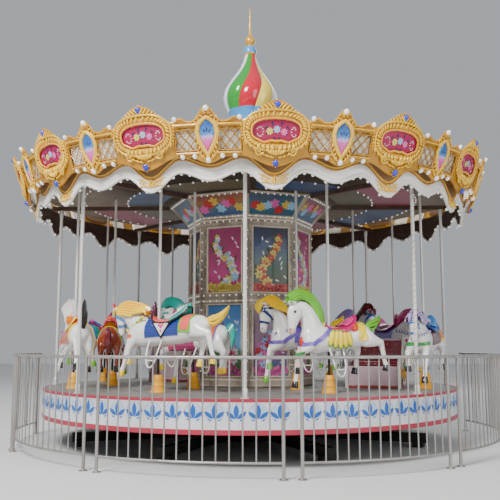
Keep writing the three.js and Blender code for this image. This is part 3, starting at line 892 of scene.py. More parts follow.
def spiral(name, middle, size, turns, start, lift, radius, side):
    """A gold volute: a tube that winds inwards."""
    count = int(turns * 9)
    points = []
    for i in range(count + 1):
        share = i / count
        turn = math.radians(start + share * turns * 360)
        reach = size * (1 - share) ** 0.8 + 0.004
        points.append((
            middle[0] + side * reach * math.cos(turn), lift + 0.012 * share,
            middle[1] + reach * math.sin(turn)))
    taper = [1 - 0.5 * i / count for i in range(count + 1)]
    return rod_between(name, "gold_relief", points, radius, 6, taper)


BALL = lobe_pattern("ball")
LOBE = lobe_pattern("lobe", 6, 5)
TRIM = lobe_pattern("small_ball", 6, 4)


def mark_relief(obj, low=-0.015, high=0.07):
    """Writes each vertex's height over the sheet into the attribute that the gold reads."""
    mark = obj.data.attributes.new("relief", "FLOAT", "POINT")
    for i, vertex in enumerate(obj.data.vertices):
        mark.data[i].value = max(0.0, min(1.0, (-vertex.co.y - low) / (high - low)))
    return obj

# %% [markdown]
# The sheet under the ornament is a grid pulled to the outline of the crown and pushed out where a
# frame swells. A grid is better than a cut plate here, as the swelling needs rows to bend along.

# %% The sheet of one period
COLUMNS = 66
ROWS = 24
LATTICE = (0.5, 0.84)
LATTICE_LOW = 3.485
LATTICE_HIGH = 3.72


def oval_measure(x, z):
    """1 on the inner rim of the oval, less inside it, more outside."""
    across = abs(x) / OVAL[0]
    up = abs(z - OVAL_MIDDLE) / OVAL[1]
    return (across ** 2.5 + up ** 2.5) ** 0.4


def sheet_relief(x, z):
    t = abs(x) / HALF
    from_rim = oval_measure(x, z)
    frame_swell = 0.02 * bump(from_rim, 1.3, 0.42)
    level = 0.01 + 0.008 * bump(t, 0, 0.5) + frame_swell
    if LATTICE[0] < t < LATTICE[1] and LATTICE_LOW < z < LATTICE_HIGH:
        level = -0.016
    if from_rim < 1.0:
        level = 0.004
    if t > 0.84:
        level = 0.02
    return level + 0.016 * bump(z, top_edge(t) - 0.012, 0.03)


def crown_sheet():
    clear_choice()
    bpy.ops.mesh.primitive_grid_add(x_subdivisions=COLUMNS, y_subdivisions=ROWS, size=1)
    sheet = settle("sheet")
    sheet.data.transform(Matrix.Rotation(math.radians(90), 4, "X"))

    def rule(place):
        x = place.x * 2 * HALF * 0.9998
        t = abs(x) / HALF
        z = lerp(low_edge(t) + 0.008, top_edge(t), place.z + 0.5)
        return Vector((x, -sheet_relief(x, z), z))

    reshape(sheet, rule)
    give(sheet, "gold_relief", "lattice_cream", "recess")
    for face in sheet.data.polygons:
        middle = face.center
        t = abs(middle.x) / HALF
        if LATTICE[0] < t < LATTICE[1] and LATTICE_LOW < middle.z < LATTICE_HIGH:
            face.material_index = 1
    sheet.data.update()
    edit(sheet)
    bpy.ops.mesh.select_all(action="SELECT")
    bpy.ops.mesh.normals_make_consistent(inside=False)
    clear_choice()
    if sheet.data.polygons[0].normal.y > 0:
        sheet.data.flip_normals()
    modify(sheet, "SOLIDIFY", thickness=0.022, offset=-1)
    return smooth(sheet, 50)


sheet = crown_sheet()
print("sheet triangles", triangles(sheet))

# %% [markdown]
# The oval: a smooth peach rim, a ring of shell lobes, feathers on the hump above, volutes and
# shells below, and a blue ball at the top and bottom. The picture inside is a design of its own: three
# large flowers on crimson with white sprays. The ornament follows the photograph.

# %% Oval frame
def oval_point(turn, grow, lift):
    """A point of the oval's outline grown by a distance, with the wavy lower edge."""
    across, up = math.cos(turn), math.sin(turn)
    x = (OVAL[0] + grow) * math.copysign(abs(across) ** 0.8, across)
    z = OVAL_MIDDLE + (OVAL[1] + grow) * math.copysign(abs(up) ** 0.8, up)
    if up < 0:
        z += (0.026 * bump(abs(x), 0, 0.17) - 0.006 * math.cos(x * 46)) * max(0.0, 1 - grow / 0.05)
    return (x, lift, z)


def oval_frame():
    parts = []
    rim = [oval_point(math.tau * i / OVAL_STEPS, 0.002, 0.034) for i in range(OVAL_STEPS)]
    parts.append(rod_between("rim", "peach_rim", rim, 0.013, 8, cyclic=True))
    outer = [oval_point(math.tau * i / OVAL_STEPS, 0.086, 0.04) for i in range(OVAL_STEPS)]
    parts.append(rod_between("outer", "gold_relief", outer, 0.011, 6, cyclic=True))
    for i in range(40):
        turn = math.tau * (i + 0.5) / 40
        x, lift, z = oval_point(turn, 0.045, 0.038)
        lean = -math.degrees(math.atan2(math.sin(turn), math.cos(turn))) + 90 + 28
        parts.append(stamp(LOBE, "gold_relief", (x, lift, z), (0.014, 0.02, 0.032), lean))
    for side in (-1, 1):
        for i in range(7):
            x = side * (0.03 + 0.04 * i)
            over = OVAL_MIDDLE + 0.075 + OVAL[1] * (1 - min(1, abs(x) / 0.36) ** 2.5) ** 0.4
            room = top_edge(abs(x) / HALF) - over
            middle = (x, 0.036, over + 0.42 * room)
            parts.append(stamp(
                LOBE, "gold_relief", middle, (0.014, 0.022, 0.018 + 0.4 * room), side * 42, 0.4))
        parts.append(spiral("volute", (side * 0.19, 3.475), 0.05, 1.3, 200, 0.04, 0.011, side))
        parts.append(spiral("curl", (side * 0.34, 3.775), 0.03, 1.2, 100, 0.026, 0.009, side))
        for i in range(4):
            x = side * (0.045 + 0.05 * i)
            parts.append(stamp(
                LOBE, "gold_relief", (x, 0.042, 3.5 + 0.006 * i), (0.021, 0.026, 0.03), side * 20))
        for i in range(7):
            share = i / 6
            x = side * lerp(0.05, 0.34, share)
            z = lerp(3.41, 3.56, share ** 1.4)
            lean = side * lerp(70, 25, share)
            parts.append(stamp(TRIM, "gold_relief", (x, 0.036, z), (0.012, 0.018, 0.034), lean, 0.4))
        for i in range(5):
            at = (side * (0.372 + 0.003 * i), 0.03, 3.6 + 0.034 * i)
            parts.append(stamp(TRIM, "cream_relief", at, (0.011, 0.014, 0.014)))
    for i in range(-3, 4):
        at = (0.028 * i, 0.045, 3.452 + 0.004 * abs(i))
        parts.append(stamp(LOBE, "gold_relief", at, (0.013, 0.022, 0.034), 14 * i, 0.3))
    return parts


frame_parts = oval_frame()
print("oval frame parts", len(frame_parts))

# %% Rosettes with a ball or a bulb
def rosette(middle, lift, petals, size, paint, centre_paint, ball):
    """A ring of lobes round a ball."""
    parts = [stamp(BALL, centre_paint, (middle[0], lift + size * 0.5, middle[1]), (ball, ball, ball))]
    for i in range(petals):
        turn = math.tau * i / petals
        at = (middle[0] + size * math.sin(turn), lift, middle[1] + size * math.cos(turn))
        parts.append(stamp(TRIM, paint, at, (size * 0.42, size * 0.4, size * 0.55), math.degrees(turn)))
    return parts


frame_parts += rosette((0, 3.945), 0.012, 8, 0.046, "cream_relief", "blue_ball", 0.038)
frame_parts += rosette((0, 3.345), 0.03, 6, 0.03, "gold_relief", "blue_ball", 0.037)
for side in (-1, 1):
    frame_parts += rosette(
        (side * 0.53 * HALF, 3.822), 0.022, 6, 0.02, "cream_relief", "bulb_white", 0.026)
print("with rosettes", len(frame_parts))

# %% Flowers in the oval
PETAL = 0.042
FLOWERS = [(-0.075, 3.68, "petal_yellow"), (0.005, 3.7, "petal_blue"), (0.085, 3.675, "petal_pink")]
LEAVES = [
    (-0.12, 3.65, 70), (-0.13, 3.7, 40), (0.135, 3.65, -70), (0.14, 3.7, -40), (-0.04, 3.73, -10),
    (0.05, 3.735, 15), (-0.03, 3.63, 160), (0.04, 3.625, 200)]


def oval_picture():
    field = from_outline(
        "field", [oval_point(math.tau * i / OVAL_STEPS, 0.004, 0) for i in range(OVAL_STEPS)], True)
    bpy.ops.mesh.edge_face_add()
    bpy.ops.mesh.inset(thickness=0.05, depth=0)
    bpy.ops.transform.translate(value=(0, -0.006, 0))
    clear_choice()
    field.data.transform(Matrix.Translation((0, -0.012, 0)))
    edit(field)
    bpy.ops.mesh.select_all(action="SELECT")
    bpy.ops.mesh.quads_convert_to_tris()
    clear_choice()
    if sum(f.normal.y * f.area for f in field.data.polygons) > 0:
        field.data.flip_normals()
    parts = [give(field, "magenta_field")]
    patterns = {}
    for _, _, paint in FLOWERS:
        patterns[paint] = leaf("petal", paint, PETAL, 0.013, 0.003, 5)
        patterns[paint].data.transform(Matrix.Translation((0, -0.02, 0)))
    green = leaf("green", "leaf_dark", 0.05, 0.011, 0.002, 5)
    green.data.transform(Matrix.Translation((0, -0.018, 0)))
    spray = leaf("spray", "petal_white", 0.022, 0.004, 0.002, 4)
    spray.data.transform(Matrix.Translation((0, -0.018, 0)))
    for x, z, angle in LEAVES:
        parts.append(laid(green, x, z, angle))
    for x, z, paint in FLOWERS:
        for i in range(7):
            parts.append(laid(patterns[paint], x, z, i * 360 / 7 + 10))
        parts.append(stamp(TRIM, "gold_bright", (x, 0.022, z), (0.012, 0.006, 0.012)))
    for side in (-1, 1):
        for i in range(9):
            turn = math.radians(30 + 38 * i)
            parts.append(laid(
                spray, side * (0.185 + 0.03 * math.cos(turn)), 3.675 + 0.04 * math.sin(turn), 20 * i))
    dropped(green, spray, *patterns.values())
    return parts


frame_parts += oval_picture()
print("with the picture", len(frame_parts))

# %% [markdown]
# Beside each oval a cream field is crossed by gold laths, and between two ovals stands a shield: a
# pointed frame with a gem, a rust-brown star and a bulb. The shield is modelled at the end of the
# period, and its frame is one closed tube.

# %% Lattice
def lattice(side):
    parts = []
    low, high = LATTICE_LOW + 0.008, LATTICE_HIGH - 0.008
    left, right = (LATTICE[0] + 0.01) * HALF, (LATTICE[1] - 0.01) * HALF
    for k in range(-1, 2):
        for lean in (-1, 1):
            start = lerp(left, right, 0.5) + k * 0.105
            ends = [(start - lean * 0.1, low), (start + lean * 0.1, high)]
            inside = [(min(max(x, left), right), z) for x, z in ends]
            for n in range(2):
                x0, z0 = ends[n]
                x1, z1 = ends[1 - n]
                if inside[n][0] != x0:
                    share = (inside[n][0] - x0) / (x1 - x0)
                    inside[n] = (inside[n][0], lerp(z0, z1, share))
            if abs(inside[0][0] - inside[1][0]) > 0.03:
                path = [(side * x, 0.004 + 0.004 * lean, z) for x, z in inside]
                parts.append(rod_between("lath", "gold_relief", path, 0.0065, 4))
    frame_path = [(left, low), (left, high), (right, high), (right, low)]
    parts.append(rod_between(
        "border", "gold_relief", [(side * x, 0.012, z) for x, z in frame_path], 0.01, 6, cyclic=True))
    mullion = [(side * (right + 0.025), 0.02, z) for z in (3.45, 3.55, 3.65, 3.76)]
    parts.append(rod_between("mullion", "rust_relief", mullion, 0.011, 6))
    top_line = [(side * lerp(0.5, 0.86, i / 8) * HALF, 0.03, 3.755) for i in range(9)]
    parts.append(rod_between("moulding", "gold_relief", top_line, 0.013, 6))
    foot_line = [(side * lerp(0.52, 0.86, i / 8) * HALF, 0.026, 3.462) for i in range(9)]
    parts.append(rod_between("foot_moulding", "gold_relief", foot_line, 0.012, 6))
    return parts


lattice_parts = lattice(-1) + lattice(1)
print("lattice parts", len(lattice_parts))

# %% Shield
KITE = [(0, 3.812), (0.035, 3.79), (0.078, 3.745), (0.094, 3.68), (0.078, 3.6), (0.04, 3.525), (0, 3.462)]


def kite_path(grow, lift):
    wider, taller = 1 + grow / 0.1, 1 + grow / 0.18
    right = [(x * wider, lift, OVAL_MIDDLE + (z - OVAL_MIDDLE) * taller) for x, z in KITE]
    left = [(-x, l, z) for x, l, z in right[-2:0:-1]]
    return right + left


def shield():
    plate = from_outline("plate", [(x, -0.03, z) for x, _, z in kite_path(0.03, 0)], True)
    bpy.ops.mesh.edge_face_add()
    bpy.ops.mesh.extrude_region_move(TRANSFORM_OT_translate={"value": (0, 0.03, 0)})
    clear_choice()
    parts = [give(outward(plate), "cream_relief")]
    parts.append(rod_between("kite", "gold_relief", kite_path(0.034, 0.034), 0.014, 8, cyclic=True))
    parts.append(rod_between(
        "kite_middle", "cream_relief", kite_path(0.016, 0.042), 0.011, 8, cyclic=True))
    parts.append(rod_between("kite_inner", "gold_relief", kite_path(0.0, 0.036), 0.009, 6, cyclic=True))
    gem = from_outline("gem", [(x, -0.03, z) for x, _, z in kite_path(-0.006, 0)], True)
    bpy.ops.mesh.edge_face_add()
    bpy.ops.mesh.extrude_region_move(TRANSFORM_OT_translate={"value": (0, -0.012, 0)})
    bpy.ops.transform.resize(value=(0.8, 1, 0.8))
    clear_choice()
    parts.append(give(outward(gem), "gem"))
    for i in range(3):
        at = ((i - 1) * 0.032, 0.042, 3.7 - 0.012 * abs(i - 1))
        parts.append(stamp(TRIM, "leaf_dark", at, (0.008, 0.004, 0.026), (i - 1) * 40, 0.5))
    for i in range(7):
        turn = math.radians(-75 + 25 * i)
        at = (0.062 * math.sin(turn), 0.03, 3.845 + 0.062 * math.cos(turn) - 0.02)
        paint = "rust_relief" if i % 2 else "gold_relief"
        parts.append(stamp(LOBE, paint, at, (0.013, 0.018, 0.034), math.degrees(turn), 0.5))
    parts += rosette((0, 3.918), 0.026, 7, 0.026, "cream_relief", "bulb_white", 0.03)
    for side in (-1, 1):
        parts.append(spiral("ear", (side * 0.115, 3.8), 0.032, 1.2, 90, 0.03, 0.01, side))
        tail = [(side * 0.12, 0.024, 3.5), (side * 0.09, 0.034, 3.44), (side * 0.035, 0.036, 3.4)]
        parts.append(rod_between("tail", "gold_relief", tail, 0.013, 6, [0.7, 1.1, 0.8]))
        for i in range(4):
            at = (side * (0.112 - 0.018 * i), 0.034, 3.56 - 0.045 * i)
            parts.append(stamp(TRIM, "gold_relief", at, (0.012, 0.018, 0.026), -side * 25, 0.3))
    parts.append(stamp(BALL, "bulb_white", (0, 0.04, 3.385), (0.03, 0.03, 0.03)))
    parts.append(stamp(TRIM, "gold_relief", (0, 0.03, 3.425), (0.028, 0.024, 0.03), 0, 0.3))
    return parts


shield_pattern = joined("shield", shield())
shield_pattern.data.transform(Matrix.Translation((HALF, 0, 0)))
recess_bulbs = [stamp(BALL, "bulb_white", (side * t * HALF, 0.012, 3.435), (0.028, 0.028, 0.028))
                for side in (-1, 1) for t in (0.6, 0.79)]
period = joined("period", [sheet] + frame_parts + lattice_parts + recess_bulbs + [shield_pattern])
mark_relief(period)
print("one period has triangles", triangles(period))

# %% [markdown]
# Each board of the CAD model carries two periods. The flat pattern is copied, laid on the lean of
# the face and bent round the axis.

# %% Crown boards
def on_crown(angle):
    def rule(place):
        face = lerp(3.2465, 3.4865, (place.z - 3.31) / 0.68)
        return polar(face - place.y, angle + math.degrees(place.x / REACH), place.z)
    return rule


for k in range(PERIODS // 2):
    parts = [reshape(copied(period), on_crown(CROWN_PHASE + PERIOD * (2 * k + n))) for n in (0, 1)]
    piece = joined(f"crown_relief_{k + 1}", parts)
    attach(piece, "turntable")
    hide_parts(f"crown_board_{k + 1}")
dropped(period)
print("crown boards", PERIODS // 2)

# %% [markdown]
# Under the crown hangs the valance: a brown recess, a gold wave and a cream scalloped apron with
# a thick rolled rim. The deep scallops carry a gold spray. It is made the same way, flat and
# wrapped, but the rim is a tube along the wave.

# %% Valance of one period
APRON = 0.6
APRON_HEIGHT = 0.15
VALANCE_TOP = 3.498
WAVE_STEPS = 48


def valance_sheet():
    clear_choice()
    bpy.ops.mesh.primitive_grid_add(x_subdivisions=56, y_subdivisions=8, size=1)
    apron = settle("apron")
    apron.data.transform(Matrix.Rotation(math.radians(90), 4, "X"))

    def rule(place):
        x = place.x * 2 * HALF * 0.9998
        t = abs(x) / HALF
        low = valance_edge(t)
        share = place.z + 0.5
        if share < APRON:
            z = lerp(low + 0.012, low + APRON_HEIGHT, share / APRON)
            swell = 0.02 * math.sin(math.pi * share / APRON)
        else:
            z = lerp(low + APRON_HEIGHT, VALANCE_TOP, (share - APRON) / (1 - APRON))
            swell = 0.01 + 0.05 * (share - APRON)
        return Vector((x, -swell, z))

    reshape(apron, rule)
    give(apron, "white_gloss", "recess", "inside_brown")
    for face in apron.data.polygons:
        t = min(1, abs(face.center.x) / HALF)
        if face.center.z > valance_edge(t) + APRON_HEIGHT:
            face.material_index = 1
    if apron.data.polygons[0].normal.y > 0:
        apron.data.flip_normals()
    modify(apron, "SOLIDIFY", thickness=0.016, offset=-1)
    for face in apron.data.polygons:
        if face.normal.y > 0.3:
            face.material_index = 2
    return smooth(apron, 50)


def wave(rise, lift):
    shares = [lerp(-1, 1, i / WAVE_STEPS) for i in range(WAVE_STEPS + 1)]
    return [(share * HALF, lift, valance_edge(abs(share)) + rise) for share in shares]


def valance_period():
    parts = [valance_sheet()]
    parts.append(rod_between("rolled_rim", "white_gloss", wave(0.02, 0.006), 0.021, 8))
    parts.append(rod_between("wave", "rust_relief", wave(0.158, 0.016), 0.012, 6))
    parts.append(rod_between("wave_line", "gold_relief", wave(0.182, 0.016), 0.012, 6))
    for i in range(-4, 5):
        size = 1.0 - 0.1 * abs(i)
        at = (0.036 * i, 0.03, 3.185 - 0.006 * abs(i))
        parts.append(stamp(LOBE, "gold_relief", at, (0.014 * size, 0.012, 0.05 * size), 24 * i, 0.5))
    for side in (-1, 1):
        parts.append(stamp(
            LOBE, "gold_relief", (side * 0.09, 0.028, 3.225), (0.013, 0.01, 0.06), side * 62, 0.6))
        parts.append(stamp(
            LOBE, "gold_relief", (side * 0.15, 0.026, 3.25), (0.011, 0.009, 0.045), side * 80, 0.6))
        parts.append(spiral("sprig", (side * 0.13, 3.2), 0.03, 1.1, 0, 0.024, 0.006, side))
    parts += rosette((0, 3.205), 0.03, 6, 0.022, "gold_relief", "gold_bright", 0.014)
    for t in (0.12, 0.36, 0.5, 0.64, 0.86):
        for side in (-1, 1):
            at = (side * t * HALF, -0.022, valance_edge(t) + 0.004)
            parts.append(stamp(TRIM, "bulb_white", at, (0.02, 0.02, 0.02)))
    return mark_relief(joined("valance_period", parts), -0.01, 0.045)


def on_valance(angle):
    def rule(place):
        face = lerp(3.146, 3.158, (place.z - 3.08) / 0.42)
        return polar(face - place.y, angle + math.degrees(place.x / REACH), place.z)
    return rule


apron = valance_period()
print("valance period triangles", triangles(apron))
for k in range(PERIODS // 2):
    parts = [reshape(copied(apron), on_valance(CROWN_PHASE + PERIOD * (2 * k + n))) for n in (0, 1)]
    piece = joined(f"valance_apron_{k + 1}", parts)
    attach(piece, "turntable")
    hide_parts(f"valance_{k + 1}")
dropped(apron)
print("valances", PERIODS // 2)

# %% [markdown]
# The centre column has eight sides in two tiers under a flared cornice. Each tier starts as an
# eight-sided cylinder. A bisect marks the foot rail, and two insets on the side faces make the stiles
# and the sunk panel. The pictures in the panels are painted scenery and flowers of their own design,
# in the colours of the photographed ones.

# %% Panel paints
def scenery(name, low, high, *stops):
    """A painted backdrop: colours by height, with cloudy edges between them."""
    wires, shader = finish(name, 0.4, coat=0.2)
    height = wires.add("SeparateXYZ", Vector=wires.add("TexCoord").outputs["Object"]).outputs["Z"]
    share = wires.between(height, low, high)
    cloud = wires.math("SUBTRACT", wires.noise(wires.place(), 3.0, 4), 0.5)
    cloud = wires.math("MULTIPLY", cloud, 0.6)
    paint = wires.ramp(wires.math("ADD", share, cloud), stops)
    weather(wires, shader, paint, 0.4, amount=0.25, scale=3.0)


scenery("scene_magenta", 2.1, 3.05, (0.0, (196, 40, 116)), (0.3, (206, 70, 140)),
        (0.55, (176, 60, 112)), (1.0, (158, 60, 108)))
scenery("scene_teal", 2.1, 3.05, (0.0, (60, 66, 40)), (0.25, (34, 84, 62)), (0.5, (52, 92, 104)),
        (0.8, (30, 60, 110)), (1.0, (24, 42, 74)))
scenery("scene_sky", 0.93, 1.94, (0.0, (70, 134, 70)), (0.35, (110, 160, 110)),
        (0.5, (104, 160, 212)), (1.0, (66, 136, 206)))
scenery("scene_lilac", 0.93, 1.94, (0.0, (60, 100, 140)), (0.3, (176, 84, 140)),
        (0.6, (168, 138, 164)), (1.0, (158, 146, 156)))
scenery("scene_ochre", 3.2, 3.5, (0.0, (44, 84, 128)), (0.4, (96, 104, 112)),
        (0.65, (150, 104, 52)), (1.0, (112, 52, 62)))
scenery("scene_sea", 3.2, 3.5, (0.0, (34, 92, 112)), (0.5, (46, 104, 132)), (1.0, (52, 64, 84)))
painted("flower_red", (190, 40, 44), 0.4, amount=0.15)
painted("flower_gold", (208, 176, 72), 0.4, amount=0.15)
painted("ceiling_maroon", (104, 34, 58), 0.45, amount=0.5, scale=3.0)
painted("ceiling_wine", (134, 28, 62), 0.4, amount=0.3, scale=3.0)
painted("ceiling_blue", (30, 62, 104), 0.45, amount=0.4, scale=3.0)
painted("ceiling_olive", (84, 80, 52), 0.5, amount=0.4, scale=3.0)
painted("ceiling_lilac", (118, 100, 124), 0.5, amount=0.5, scale=3.0)
UPPER = ["scene_teal", "scene_magenta"]
LOWER = ["scene_lilac", "scene_sky"]
CORNICE = ["scene_sea", "scene_ochre"]

# %% Column tiers
APOTHEM = COLUMN_RADIUS * math.cos(math.radians(SECTOR / 2))
SIDE = 2 * COLUMN_RADIUS * math.sin(math.radians(SECTOR / 2))
STILE = 0.085
PANEL_DEPTH = 0.02


def side_number(place):
    """Which of the eight sides a place is on, counted from the side at the front right."""
    angle = math.degrees(math.atan2(place.x, -place.y))
    return round((angle - COLUMN_PHASE - SECTOR / 2) / SECTOR) % SECTORS


def tier(name, z0, z1, band, paints):
    clear_choice()
    bpy.ops.mesh.primitive_cylinder_add(
        vertices=SECTORS, radius=COLUMN_RADIUS, depth=z1 - z0, location=(0, 0, (z0 + z1) / 2),
        rotation=(0, 0, math.radians(COLUMN_PHASE)))
    obj = settle(name)
    give(obj, "marble_beige", *paints)
    for level in band:
        if z0 < level < z1:
            edit(obj)
            bpy.ops.mesh.bisect(plane_co=(0, 0, level), plane_no=(0, 0, 1))
    edit(obj)
    pick(lambda place, normal: abs(normal.z) < 0.5 and band[0] < place.z < band[1])
    bpy.ops.mesh.inset(thickness=STILE, depth=0, use_individual=True)
    bpy.ops.mesh.inset(thickness=0.01, depth=-PANEL_DEPTH, use_individual=True)
    clear_choice()
    for face in obj.data.polygons:
        if face.select:
            face.material_index = 1 + side_number(face.center) % 2
    return modify(
        obj, "BEVEL", width=0.004, segments=1, limit_method="ANGLE", angle_limit=math.radians(30))


lower_tier = tier("lower_tier", DECK_TOP + SEAT, 2.0195, (0.845, 2.03), LOWER)
upper_tier = tier("upper_tier", 2.0205, CORNICE_FOOT - 0.0005, (2.02, 3.135), UPPER)
print("tiers", len(lower_tier.data.polygons), len(upper_tier.data.polygons))

# %% Things laid on a side of the column
def side_place(side, x, z, out):
    """A place on a side of the column, x to the right of its middle and out from its face."""
    turn = turn_z(COLUMN_PHASE + SECTOR * (side + 0.5))
    return turn @ Vector((x, -(APOTHEM + out), z))


def side_tube(side, paint, points, radius, out, cyclic=False):
    places = [side_place(side, x, z, out) for x, z in points]
    return give(tube("moulding", places, radius, 6, None, cyclic), paint)


def ball_at(paint, place, size):
    return give(copied(TRIM, Matrix.Translation(place) @ Matrix.Scale(size, 4)), paint)


def ring_moulding(paint, radius, z, size):
    """An eight-sided moulding that runs round the column over its corners."""
    profile = [
        (radius, z - size), (radius + size * 0.8, z - size * 0.5), (radius + size, z),
        (radius + size * 0.8, z + size * 0.5), (radius, z + size)]
    return give(turned("ring", profile, steps=SECTORS, from_angle=COLUMN_PHASE, closed=True), paint)


def flower(paint, centre_paint, size, petals):
    """A flat flower about the origin that faces -Y."""
    petal = leaf("petal", paint, size, size * 0.32, 0.003, 3)
    petal.data.transform(Matrix.Translation((0, 0, size * 0.12)))
    parts = [laid(petal, 0, 0, i * 360 / petals) for i in range(petals)]
    dropped(petal)
    heart = copied(TRIM, Matrix.Diagonal((size * 0.24, 0.004, size * 0.24, 1)))
    parts.append(give(heart, centre_paint))
    return joined("flower", parts)


def on_side(obj, side, x, z, degrees, out=0.0, size=1.0):
    """A copy of a flat thing about the origin, put on a side of the column."""
    turn = turn_z(COLUMN_PHASE + SECTOR * (side + 0.5))
    spot = Matrix.Translation((x, -(APOTHEM - PANEL_DEPTH + out), z))
    lean = Matrix.Rotation(math.radians(degrees), 4, "Y")
    return copied(obj, turn @ spot @ lean @ Matrix.Scale(size, 4))


print("a side is", round(SIDE, 3), "m wide")

# %% Column ornament
random.seed(7)
FLOWER_KINDS = {
    "scene_magenta": [
        ("petal_yellow", "flower_red"), ("petal_blue", "flower_gold"), ("petal_white", "petal_pink")],
    "scene_teal": [
        ("flower_red", "flower_gold"), ("flower_gold", "flower_red"), ("petal_yellow", "rust_relief")],
    "scene_sky": [
        ("petal_pink", "flower_gold"), ("petal_white", "flower_gold"), ("flower_red", "flower_gold")],
    "scene_lilac": [
        ("petal_pink", "leaf_dark"), ("flower_red", "leaf_dark"), ("petal_blue", "leaf_dark")],
}
flower_patterns = {}
for backdrop, kinds in FLOWER_KINDS.items():
    flower_patterns[backdrop] = [flower(paint, heart, 0.05, 6) for paint, heart in kinds]
sprig = leaf("sprig", "petal_white", 0.07, 0.012, 0.003, 3)
blade = leaf("blade", "ceiling_olive", 0.12, 0.018, 0.002, 3)


def garland(side, backdrop, low, high):
    """Stems, leaves and flowers that climb a panel from its lower corner."""
    parts = []
    kinds = flower_patterns[backdrop]
    sway = 1 if side % 2 else -1
    for i in range(22):
        share = i / 21
        x = sway * 0.13 * math.sin(share * 5.2) + random.uniform(-0.05, 0.05)
        z = lerp(low + 0.08, high - 0.14, share)
        size = lerp(1.5, 0.8, share)
        parts.append(on_side(kinds[i % 3], side, x, z, random.uniform(0, 60), 0.002, size))
        parts.append(on_side(
            blade, side, x + random.uniform(-0.05, 0.05), z - 0.03, random.uniform(-70, 70)))
        if i % 2:
            parts.append(on_side(
                sprig, side, -x + random.uniform(-0.06, 0.06), z, random.uniform(0, 180)))
    for i in range(9):
        x = lerp(-0.22, 0.22, i / 8)
        parts.append(on_side(kinds[0], side, x, low + random.uniform(0.03, 0.1), 20 * i, 0.004, 1.3))
    return parts


print("flowers in", len(flower_patterns), "palettes")

# %% Dress of the two tiers
def column_side(side, low, high, backdrop):
    parts = garland(side, backdrop, low, high)
    half = SIDE / 2 - STILE
    frame_path = [(-half, low), (half, low), (half, high), (-half, high)]
    parts.append(side_tube(side, "cream", frame_path, 0.011, 0.002, cyclic=True))
    outer = half + 0.062
    for x in (-outer, outer):
        parts.append(side_tube(side, "marble_beige", [(x, low - 0.05), (x, high + 0.05)], 0.014, 0.0))
    for i in range(11):
        z = lerp(low, high, i / 10)
        for x in (-half - 0.034, half + 0.034):
            parts.append(ball_at("leaf_dark" if i % 2 else "cream", side_place(side, x, z, 0.002), 0.009))
    return parts


def tier_dress(tier_object, low, high, paints, sills, bulbs):
    parts = [tier_object]
    for side in range(SECTORS):
        parts += column_side(side, low, high, paints[side % 2])
        for z in bulbs:
            for i in range(7):
                x = lerp(0.05 - SIDE / 2, SIDE / 2 - 0.05, i / 6)
                parts.append(ball_at("bulb_white", side_place(side, x, z, 0.036), 0.014))
        corner = COLUMN_PHASE + SECTOR * side
        for i in range(7):
            z = lerp(low, high, (i + 0.5) / 7)
            parts.append(ball_at("bulb_white", polar(COLUMN_RADIUS + 0.008, corner, z), 0.013))
    for z, size, paint in sills:
        parts.append(ring_moulding(paint, COLUMN_RADIUS - 0.01, z, size))
    return parts


LOWER_SILLS = [(0.8, 0.022, "marble_beige"), (0.885, 0.014, "cream"), (1.985, 0.016, "cream")]
UPPER_SILLS = [(2.05, 0.02, "marble_beige"), (3.11, 0.026, "marble_beige"), (3.155, 0.016, "cream")]
lower = tier_dress(lower_tier, 0.93, 1.935, LOWER, LOWER_SILLS, [1.985])
lower_column = joined("lower_column", lower)
upper = tier_dress(upper_tier, 2.105, 3.05, UPPER, UPPER_SILLS, [2.065, 3.125])
upper_column = joined("upper_column", upper)
for piece, node in ((lower_column, "column_lower"), (upper_column, "column_upper")):
    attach(piece, "turntable")
    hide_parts(node)
print("column triangles", [triangles(piece) for piece in (lower_column, upper_column)])

# %% [markdown]
# The cornice flares from the column to the ceiling. It is an eight-sided drum whose top ring is
# wider than its foot, with inset picture panels and bulbs along both edges.

# %% Cornice
CORNICE_TOP = 1.24
CORNICE_HEAD = CEILING_LOW - 0.0005
clear_choice()
bpy.ops.mesh.primitive_cone_add(
    vertices=SECTORS, radius1=COLUMN_RADIUS, radius2=CORNICE_TOP, depth=CORNICE_HEAD - CORNICE_FOOT,
    location=(0, 0, (CORNICE_HEAD + CORNICE_FOOT) / 2), rotation=(0, 0, math.radians(COLUMN_PHASE)))
cornice = give(settle("cornice"), "marble_beige", *CORNICE)
edit(cornice)
pick(lambda place, normal: abs(normal.z) < 0.9)
bpy.ops.mesh.inset(thickness=0.035, depth=0, use_individual=True)
bpy.ops.mesh.inset(thickness=0.006, depth=-0.01, use_individual=True)
clear_choice()
for face in cornice.data.polygons:
    if face.select:
        face.material_index = 1 + side_number(face.center) % 2
parts = [cornice]
slope = math.atan2(CORNICE_TOP - COLUMN_RADIUS, CORNICE_HEAD - CORNICE_FOOT)


def on_cornice(side, share, x, out):
    """A place on the leaning side of the cornice, share of the way up."""
    radius = lerp(APOTHEM, CORNICE_TOP * math.cos(math.radians(SECTOR / 2)), share)
    z = lerp(CORNICE_FOOT, CORNICE_HEAD, share)
    turn = turn_z(COLUMN_PHASE + SECTOR * (side + 0.5))
    return turn @ Vector((x, -(radius + out * math.cos(slope)), z - out * math.sin(slope)))


